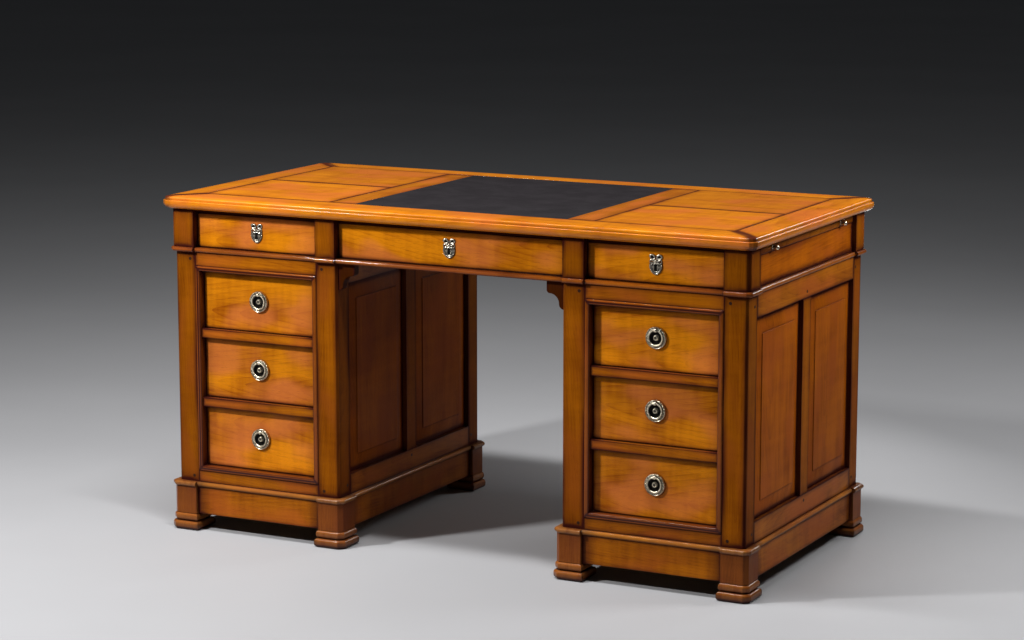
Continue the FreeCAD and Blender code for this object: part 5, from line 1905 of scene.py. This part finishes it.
@dataclass
class RingPull:
    """One pull: a beaded plate with a boss and an eye, and the ring that hangs in the eye.

    The ring is plain at the eye, beaded down its sides, and smooth and thicker at the bottom.
    """

    # Radius and height of the plate's turned surface, in millimetres.
    plate_profile: Sequence[Point] = (
        *((0.0, 0.0), (23.6, 0.0), (24.0, 0.6), (24.0, 4.2), (23.7, 5.1), (23.1, 5.5)),
        *((22.5, 5.2), (22.1, 4.2), (20.2, 3.8), (19.8, 4.4), (19.4, 4.6), (19.0, 4.2)),
        *((18.4, 2.0), (16.5, 0.9), (9.0, 0.9), (6.6, 1.2), (5.9, 2.0), (5.7, 4.6), (5.2, 5.6)),
        *((4.4, 6.0), (3.6, 5.8), (3.0, 4.9), (2.2, 4.3), (1.5, 4.4), (0.9, 5.0), (0.0, 5.2)),
    )
    segments: int = 96
    bead_circle: float = 21.0 * MM
    bead_height: float = 4.3 * MM
    bead: float = 1.25 * MM
    bead_flat: float = 0.75
    bead_count: int = 40
    dish: float = 18.6 * MM
    dish_floor: float = 0.5 * MM
    boss: float = 6.1 * MM
    dimple: float = 3.1 * MM
    dish_patina: float = 1.0
    hollow_patina: float = 0.85
    ring: float = 16.5 * MM
    ring_stand: float = 6.2 * MM
    ring_wire: float = 1.75 * MM
    ring_waist: float = 0.25 * MM
    ring_swell: float = 0.45 * MM
    ring_beads: int = 30
    steps_per_bead: int = 10
    # Where the ring's beads begin and end, in degrees from its top, and the ring's lowest place.
    beads_from: float = 18
    beads_to: float = 122
    bottom: float = 180
    # The share of the swell that the smooth part has at the end of the beads.
    smooth_swell: float = 0.35
    ring_patina: float = 0.9
    eye_bore: float = 2.75 * MM
    eye_outside: float = 4.3 * MM
    eye_half_length: float = 3.3 * MM
    # Place along the eye and its radius there, as shares of its half length and outside.
    eye_barrel: Sequence[Point] = ((-1.0, 0.72), (-0.6, 0.95), (0.0, 1.0), (0.6, 0.95), (1.0, 0.72))
    eye_segments: int = 32
    # Radius and height of the eye's stem, in millimetres, and how far short of the bore it ends.
    stem_profile: Sequence[Point] = ((0.0, 0.8), (3.6, 0.8), (3.3, 1.8), (2.4, 2.6))
    stem_top: float = 2.2 * MM
    stem_gap: float = 0.3 * MM
    stem_segments: int = 24

    def build(self, joinery: Joinery, drawer: str) -> None:
        """Build and dress the pull of one drawer.

        Args:
            joinery: What gives the finish.
            drawer: The drawer's name.
        """
        low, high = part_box(f"{drawer}_rosette")
        ring_low, ring_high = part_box(f"{drawer}_ring")
        centre = Vector(((low.x + high.x) / 2, high.y, (ring_low.z + ring_high.z) / 2))
        placing = Matrix.Translation(centre) @ FACING_FRONT
        joinery.dress(self._plate(drawer, placing), AGED_SILVER, f"{drawer}_rosette")
        joinery.dress(self._ring(drawer, placing), AGED_SILVER, f"{drawer}_ring")

    def _plate(self, drawer: str, placing: Matrix) -> Object:
        """The plate, its beads, its boss and its eye."""
        draft = Draft()
        profile = from_millimetres(self.plate_profile)
        draft.lathe(profile, self.segments, placing, dark=self._plate_patina)
        for index in range(self.bead_count):
            turn = math.tau * (index + 0.5) / self.bead_count
            place = Vector((math.cos(turn), math.sin(turn), 0.0)) * self.bead_circle
            place.z = self.bead_height
            draft.bead(place, self.bead, placing, self.bead_flat)
        self._add_eye(draft, placing)
        return draft.piece(f"{drawer}_beaded_plate")

    def _plate_patina(self, point: Vector) -> float:
        """The patina in the dish, under the beads and in the boss's dimple."""
        radius = math.hypot(point.x, point.y)
        if self.boss < radius < self.dish and point.z > self.dish_floor:
            return self.dish_patina
        under_beads = abs(radius - self.bead_circle) < self.bead and point.z < self.bead_height
        return self.hollow_patina if under_beads or radius < self.dimple else 0.0

    def _add_eye(self, draft: Draft, placing: Matrix) -> None:
        """The eye: a short barrel across the top of the plate, on a stem."""
        barrel = []
        for share, swell in self.eye_barrel:
            barrel.append((self.eye_outside * swell, share * self.eye_half_length))
        barrel += [(self.eye_bore, self.eye_half_length), (self.eye_bore, -self.eye_half_length)]
        eye = Matrix.Translation((0.0, self.ring, self.ring_stand))
        across = eye @ Matrix.Rotation(math.pi / 2, 4, "Y")
        draft.lathe(barrel, self.eye_segments, placing @ across, closed=True)
        top = self.ring_stand - self.eye_bore - self.stem_gap
        stem = [*from_millimetres(self.stem_profile), (self.stem_top, top), (0.0, top)]
        at = placing @ Matrix.Translation((0.0, self.ring, 0.0))
        draft.lathe(stem, self.stem_segments, at)

    def _ring(self, drawer: str, placing: Matrix) -> Object:
        """The ring, round the middle of the plate."""
        steps = self.ring_beads * self.steps_per_bead
        path = []
        radii = []
        for step in range(steps):
            turn = math.tau * step / steps
            path.append(Vector((math.sin(turn), math.cos(turn), 0.0)) * self.ring)
            radius = self._ring_radius(turn)
            radii.append((radius, radius))
        draft = Draft()
        out = placing @ Matrix.Translation((0, 0, self.ring_stand))
        draft.wire(path, radii, out, True, dark=self._ring_patina)
        return draft.piece(f"{drawer}_hanging_ring")

    def _ring_radius(self, turn: float) -> float:
        """How thick the ring's wire is at an angle from the top, from its centre line out."""
        from_top = math.degrees(min(turn, math.tau - turn))
        if from_top < self.beads_from:
            return self.ring_wire
        if from_top < self.beads_to:
            wave = abs(math.sin(turn * self.ring_beads / 2))
            return self.ring_wire - self.ring_waist + (self.ring_swell + self.ring_waist) * wave
        share = (from_top - self.beads_to) / (self.bottom - self.beads_to)
        rise = (1.0 - self.smooth_swell) * math.sin(math.pi / 2 * share)
        return self.ring_wire + self.ring_swell * (self.smooth_swell + rise)

    def _ring_patina(self, point: Vector) -> float:
        """The patina between the ring's beads."""
        turn = math.atan2(point.x, point.y)
        between = 1.0 - abs(math.sin(turn * self.ring_beads / 2))
        is_beaded = self.beads_from < math.degrees(abs(turn)) < self.beads_to
        return self.ring_patina * between if is_beaded else 0.0


@dataclass
class KeyholePlate:
    """One pierced keyhole plate: a beaded shield under a ribbon bow. Its origin is the keyhole."""

    thickness: float = 2.0 * MM
    round_over: float = 0.45 * MM
    # The right half of the shield's line, from its top to its foot, in millimetres.
    half_shield: Sequence[Point] = (
        *((0.0, 6.6), (4.6, 6.0), (9.0, 6.8), (12.9, 5.2), (14.9, 0.6)),
        *((14.8, -5.0), (13.0, -10.8), (9.6, -15.8), (5.2, -19.4), (0.0, -21.1)),
    )
    shield_middle: float = -7.2 * MM
    outline_steps: int = 5
    # How high the keyhole stands above the lowest point of the solid plate.
    key_height: float = 21.4 * MM
    key_radius: float = 4.1 * MM
    key_steps: int = 24
    slot_half: float = 2.9 * MM
    slot_foot: float = 3.5 * MM
    slot_depth: float = 12.8 * MM
    # The share of the foot's half width that is flat, and how high its slanting corners reach.
    foot_flat: float = 0.8
    foot_rise: float = 0.6
    piercing_centre: Point = (7.4 * MM, 2.6 * MM)
    piercing_size: Point = (1.9 * MM, 1.15 * MM)
    piercing_lean: float = math.radians(-38)
    piercing_steps: int = 14
    # Painted shadow: the plate's edge is darkened as the shadow its thickness casts.
    edge_painted_shadow: float = 0.9
    shadow_edge_height: float = 0.7
    face_patina: float = 0.92
    keyhole_patina: float = 0.55
    keyhole_margin: float = 1.1
    bead: float = 1.05 * MM
    bead_spacing: float = 2.5 * MM
    bead_line: float = 0.915
    bead_line_steps: int = 12
    keyhole_rim: float = 0.7 * MM
    keyhole_rim_gap: float = 1.0 * MM
    inner_rim: float = 0.55 * MM
    inner_rim_line: float = 0.76
    inner_rim_steps: int = 6
    rim_sides: int = 8
    loop_centre: Point = (8.0 * MM, 17.4 * MM)
    loop_size: Point = (5.4 * MM, 4.8 * MM)
    loop_lean: float = 0.22
    loop_swell: float = 0.25
    loop_swells: int = 3
    loop_steps: int = 40
    slit_centre: Point = (4.8 * MM, 10.6 * MM)
    slit_size: Point = (2.0 * MM, 1.5 * MM)
    # Half the ribbon's width, and half its thickness.
    ribbon: Point = (1.65 * MM, 1.15 * MM)
    ribbon_sides: int = 10
    ribbon_level: float = 0.75
    # The line of the right tail, in millimetres. Its size is a share of the ribbon's, of which
    # the taper is lost on the way.
    tail: Sequence[Point] = (
        *((1.2, 9.2), (4.6, 8.2), (8.0, 9.6)),
        *((11.2, 11.2), (13.5, 9.2), (13.7, 4.6)),
    )
    tail_steps: int = 6
    tail_start: float = 0.85
    tail_taper: float = 0.30
    knot_height: float = 9.6 * MM
    knot: float = 2.5 * MM
    knot_flat: float = 0.8
    knot_level: float = 0.8
    knot_bud: float = 1.3 * MM
    knot_bud_flat: float = 0.9
    knot_bud_place: Point = (3.2 * MM, 3.6 * MM)
    # Black sheets of painted shade behind the plate's openings: their thickness and their sides.
    shade_sheet: float = 0.5 * MM
    shade_sheet_segments: int = 32
    # The sheet of painted shade behind the keyhole: its middle as a share of the slot's depth, and
    # its half size as shares of the key's radius and of the slot's depth.
    shade_sheet_drop: float = 0.4
    shade_sheet_share: Point = (2.0, 0.75)

    def build(self, joinery: Joinery, drawer: str) -> None:
        """Build and dress the plate of one drawer.

        Args:
            joinery: What gives the finish.
            drawer: The drawer's name.
        """
        node = f"{drawer}_escutcheon"
        low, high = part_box(node)
        centre = Vector(((low.x + high.x) / 2, high.y, low.z + self.key_height))
        placing = Matrix.Translation(centre) @ FACING_FRONT
        joinery.dress(self._plate(drawer, placing), DULL_SILVER, node)

    def _shield(self, shrink: float, steps: int) -> list[Point]:
        """The shield's line, drawn in towards its middle by a share."""
        right = from_millimetres(self.half_shield)
        left = [(-x, y) for x, y in reversed(right[1:-1])]
        middle = self.shield_middle
        corners = [(x * shrink, middle + (y - middle) * shrink) for x, y in right + left]
        return smooth_line(corners, steps, closed=True)

    def _keyhole(self, margin: float) -> list[Point]:
        """The keyhole's line, widened by a margin."""
        radius = self.key_radius + margin
        start = math.asin((self.slot_half + margin) / radius)
        line = []
        for step in range(self.key_steps + 1):
            turn = -math.pi / 2 + start + (math.tau - 2 * start) * step / self.key_steps
            line.append((radius * math.cos(turn), radius * math.sin(turn)))
        foot = self.slot_foot + margin
        flat = foot * self.foot_flat
        bottom = -self.slot_depth - margin
        rise = bottom + foot * self.foot_rise
        return line + [(-foot, rise), (-flat, bottom), (flat, bottom), (foot, rise)]

    def _plate(self, drawer: str, placing: Matrix) -> Object:
        """The whole plate as one piece."""
        holes = [self._keyhole(0.0), *(self._piercing(sign) for sign in (-1, 1))]
        outline = self._shield(1.0, self.outline_steps)
        mesh = pierced_plate(outline, holes, self.thickness, self.round_over)
        points = [vertex.co.copy() for vertex in mesh.vertices]
        faces = [tuple(face.vertices) for face in mesh.polygons]
        bpy.data.meshes.remove(mesh)
        draft = Draft()
        draft.add(points, faces, placing, self._patina)
        self._add_beads(draft, placing)
        self._add_rims(draft, placing)
        self._add_bow(draft, placing)
        self._add_shade_sheets(draft, placing)
        return draft.piece(f"{drawer}_keyhole_plate")

    def _patina(self, point: Vector) -> float:
        """Painted shadow on the plate's edge, tarnish over its face, and least tarnish round the
        keyhole.
        """
        # Painted shadow along the plate's edge.
        if point.z < self.thickness * self.shadow_edge_height:
            return self.edge_painted_shadow
        beside_slot = abs(point.x) < self.slot_foot and -self.slot_depth <= point.y < 0.0
        beside_key = math.hypot(point.x, point.y) < self.key_radius * self.keyhole_margin
        return self.keyhole_patina if beside_slot or beside_key else self.face_patina

    def _piercing(self, sign: int) -> list[Point]:
        """A small slanting hole in the shield's shoulder."""
        lean = sign * self.piercing_lean
        line = []
        for step in range(self.piercing_steps):
            turn = math.tau * step / self.piercing_steps
            along = self.piercing_size[0] * math.cos(turn)
            across = self.piercing_size[1] * math.sin(turn)
            x = along * math.cos(lean) - across * math.sin(lean)
            y = along * math.sin(lean) + across * math.cos(lean)
            line.append((sign * self.piercing_centre[0] + x, self.piercing_centre[1] + y))
        return line

    def _add_beads(self, draft: Draft, placing: Matrix) -> None:
        """A row of beads along the shield's edge."""
        shield = self._shield(self.bead_line, self.bead_line_steps)
        line = [Vector((*point, 0.0)) for point in shield]
        since = self.bead_spacing
        for here, there in zip(line, line[1:] + line[:1]):
            since += (there - here).length
            if since >= self.bead_spacing:
                since = 0.0
                draft.bead(here + Vector((0, 0, self.thickness)), self.bead, placing)

    def _add_rims(self, draft: Draft, placing: Matrix) -> None:
        """Raised rims round the keyhole and inside the beads."""
        for line, wire in (
            (self._keyhole(self.keyhole_rim_gap), self.keyhole_rim),
            (self._shield(self.inner_rim_line, self.inner_rim_steps), self.inner_rim),
        ):
            path = [Vector((*point, self.thickness)) for point in line]
            draft.wire(path, [(wire, wire)] * len(path), placing, True, self.rim_sides)

    def _add_bow(self, draft: Draft, placing: Matrix) -> None:
        """The ribbon bow: two loops, two tails and a knot between two buds."""
        for sign in (-1, 1):
            self._add_loop(draft, placing, sign)
            self._add_tail(draft, placing, sign)
        level = self.thickness * self.knot_level
        draft.bead(Vector((0.0, self.knot_height, level)), self.knot, placing, self.knot_flat)
        x, y = self.knot_bud_place
        for sign in (-1, 1):
            at = Vector((sign * x, self.knot_height + y, level))
            draft.bead(at, self.knot_bud, placing, self.knot_bud_flat)

    def _add_loop(self, draft: Draft, placing: Matrix, sign: int) -> None:
        """One loop of the bow."""
        loop = []
        radii = []
        for step in range(self.loop_steps):
            turn = math.tau * step / self.loop_steps
            x = self.loop_centre[0] + self.loop_size[0] * math.cos(turn)
            y = self.loop_centre[1] + self.loop_size[1] * math.sin(turn)
            lean = self.loop_lean * (y - self.loop_centre[1])
            loop.append(Vector((sign * (x + lean), y, self.thickness * self.ribbon_level)))
            swell = 1.0 + self.loop_swell * math.sin(self.loop_swells * turn)
            radii.append((self.ribbon[0] * swell, self.ribbon[1]))
        draft.wire(loop, radii, placing, True, self.ribbon_sides)

    def _add_tail(self, draft: Draft, placing: Matrix, sign: int) -> None:
        """One tail of the bow, which grows thinner on its way."""
        corners = [(sign * x, y) for x, y in from_millimetres(self.tail)]
        line = smooth_line(corners, self.tail_steps, closed=False)
        path = [Vector((*point, self.thickness * self.ribbon_level)) for point in line]
        wide, high = self.ribbon
        sizes = []
        for index in range(len(path)):
            share = self.tail_start - self.tail_taper * index / len(path)
            sizes.append((wide * share, high * share))
        draft.wire(path, sizes, placing, False, self.ribbon_sides)

    def _add_shade_sheets(self, draft: Draft, placing: Matrix) -> None:
        """Black sheets of painted shade behind the keyhole, the two loops and the slits below them.
        """
        sheets = []
        for (x, y), size in (
            (self.loop_centre, self.loop_size),
            (self.slit_centre, self.slit_size),
        ):
            sheets += [((sign * x, y), size) for sign in (-1, 1)]
        wide, high = self.shade_sheet_share
        middle = (0.0, -self.slot_depth * self.shade_sheet_drop)
        sheets.append((middle, (wide * self.key_radius, self.slot_depth * high)))
        disc = [(0.0, 0.0), (1.0, 0.0), (1.0, self.shade_sheet), (0.0, self.shade_sheet)]
        for (x, y), (wide, high) in sheets:
            stretch = Matrix.Diagonal((wide, high, 1.0, 1.0))
            at = placing @ Matrix.Translation((x, y, 0.0)) @ stretch
            # Painted shade: the sheets are fully dark.
            draft.lathe(disc, self.shade_sheet_segments, at, dark=lambda point: 1.0)


@dataclass
class Drawers:
    """All nine drawers: fronts, boxes, pulls, keyhole plates and locks."""

    front_arris: float = 0.9 * MM
    box_arris: float = 0.6 * MM
    lock_arris: float = 0.4 * MM
    bolt_arris: float = 0.3 * MM
    pull: RingPull = field(default_factory=RingPull)
    plate: KeyholePlate = field(default_factory=KeyholePlate)

    def build(self, joinery: Joinery) -> None:
        """Build and dress the drawers.

        Args:
            joinery: What carries the boards over.
        """
        for side in SIDES:
            for level in LEVELS:
                drawer = f"{side}_{level}"
                self._wood(joinery, drawer)
                self.pull.build(joinery, drawer)
        for place in FRIEZE_PLACES:
            drawer = f"frieze_{place}"
            self._wood(joinery, drawer)
            self.plate.build(joinery, drawer)
            for node, name, arris in (
                ("lock_case", "lock_body", self.lock_arris),
                ("lock_bolt", "bolt", self.bolt_arris),
            ):
                joinery.carry(f"{drawer}_{node}", f"{drawer}_{name}", LOCK_STEEL, arris=arris)

    def _wood(self, joinery: Joinery, drawer: str) -> None:
        """The front and the box of one drawer."""
        front = f"{drawer}_drawer_front"
        box = f"{drawer}_drawer_box"
        joinery.carry(front, f"{drawer}_front_board", CHERRY_DRAWER, arris=self.front_arris)
        joinery.carry(box, f"{drawer}_box_boards", INNER_WOOD, arris=self.box_arris)


# ---- The studio ----


@dataclass(frozen=True)
class Softbox:
    """One soft lamp."""

    name: str
    place: Triple
    aim: Triple
    width: float
    height: float
    power: float
    colour: Colour = (1.0, 1.0, 1.0)

    def build(self) -> None:
        """Hang the lamp and aim it."""
        lamp = bpy.data.lights.new(self.name, "AREA")
        lamp.shape = "RECTANGLE"
        lamp.size = self.width
        lamp.size_y = self.height
        lamp.energy = self.power
        lamp.color = self.colour
        holder = bpy.data.objects.new(self.name, lamp)
        bpy.context.scene.collection.objects.link(holder)
        holder.visible_camera = False
        holder.location = self.place
        direction = Vector(self.aim) - Vector(self.place)
        holder.rotation_euler = direction.to_track_quat("-Z", "Y").to_euler()


@dataclass
class Studio:
    """The floor, the lamps, the surrounding light and the camera."""

    azimuth: float = math.radians(27.1)
    pitch: float = math.radians(10.1)
    distance: float = 6.60
    target: Triple = (-0.011, -0.006, 0.500)
    lens: float = 99.97
    sensor_width: float = 36.0
    surround: Colour = (0.80, 0.83, 0.88)
    surround_strength: float = 0.03
    floor_half: float = 30.0
    lamps: Sequence[Softbox] = (
        Softbox("key_softbox", (-1.40, -1.80, 2.00), (-0.1, 0.0, 0.5), 0.20, 0.20, 72.0),
        Softbox("top_softbox", (-0.12, -0.9, 3.8), (0.0, -0.1, 0.75), 2.6, 0.25, 150.0),
        Softbox("side_softbox", (1.45, 0.25, 1.3), (0.7, 0.0, 0.5), 0.35, 0.35, 9.8),
        Softbox("rim_softbox", (1.6, 2.9, 1.95), (0.6, 0.0, 0.6), 0.5, 0.5, 16.0),
        Softbox("kneehole_softbox", (0.5, 1.3, 0.6), (-0.3, 0.2, 0.2), 0.3, 0.3, 2.4),
    )

    def build(self) -> None:
        """Set up the studio."""
        self._lay_floor()
        for lamp in self.lamps:
            lamp.build()
        self._light_surround()
        self._place_camera()

    def _lay_floor(self) -> None:
        """A wide pale floor, which the lamps light only round the desk."""
        sides = ((-1, -1), (1, -1), (1, 1), (-1, 1))
        corners = [Vector((x, y, 0.0)) * self.floor_half for x, y in sides]
        draft = Draft()
        draft.add(corners, [(0, 1, 2, 3)], Matrix.Identity(4))
        floor = draft.piece("studio_floor")
        floor.data.materials.append(FloorFinish().material())

    def _light_surround(self) -> None:
        """Even light from all round."""
        world = bpy.data.worlds.new("soft_surround")
        world.use_nodes = True
        light = world.node_tree.nodes["Background"]
        light.inputs["Color"].default_value = (*self.surround, 1.0)
        light.inputs["Strength"].default_value = self.surround_strength
        bpy.context.scene.world = world

    def _place_camera(self) -> None:
        """Stand the camera to the right of the desk's front and a little above it."""
        direction = Vector(
            (
                math.sin(self.azimuth) * math.cos(self.pitch),
                -math.cos(self.azimuth) * math.cos(self.pitch),
                math.sin(self.pitch),
            )
        )
        lens = bpy.data.cameras.new("desk_camera")
        lens.lens = self.lens
        lens.sensor_width = self.sensor_width
        holder = bpy.data.objects.new("desk_camera", lens)
        bpy.context.scene.collection.objects.link(holder)
        holder.location = Vector(self.target) + direction * self.distance
        holder.rotation_euler = (-direction).to_track_quat("-Z", "Y").to_euler()
        bpy.context.scene.camera = holder
        bpy.context.scene.view_settings.view_transform = "Standard"


def main() -> None:
    """Build the desk's looks around its frame, then the studio."""
    logging.basicConfig(level=logging.INFO, format="%(message)s")
    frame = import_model()
    joinery = Joinery(frame)
    assemblies = (DeskTop(), Frieze(), Pedestals(), Plinth(), WritingSlides(), Drawers())
    for assembly in assemblies:
        log.info("building %s", type(assembly).__name__)
        assembly.build(joinery)
    Studio().build()


if __name__ == "__main__":
    main()
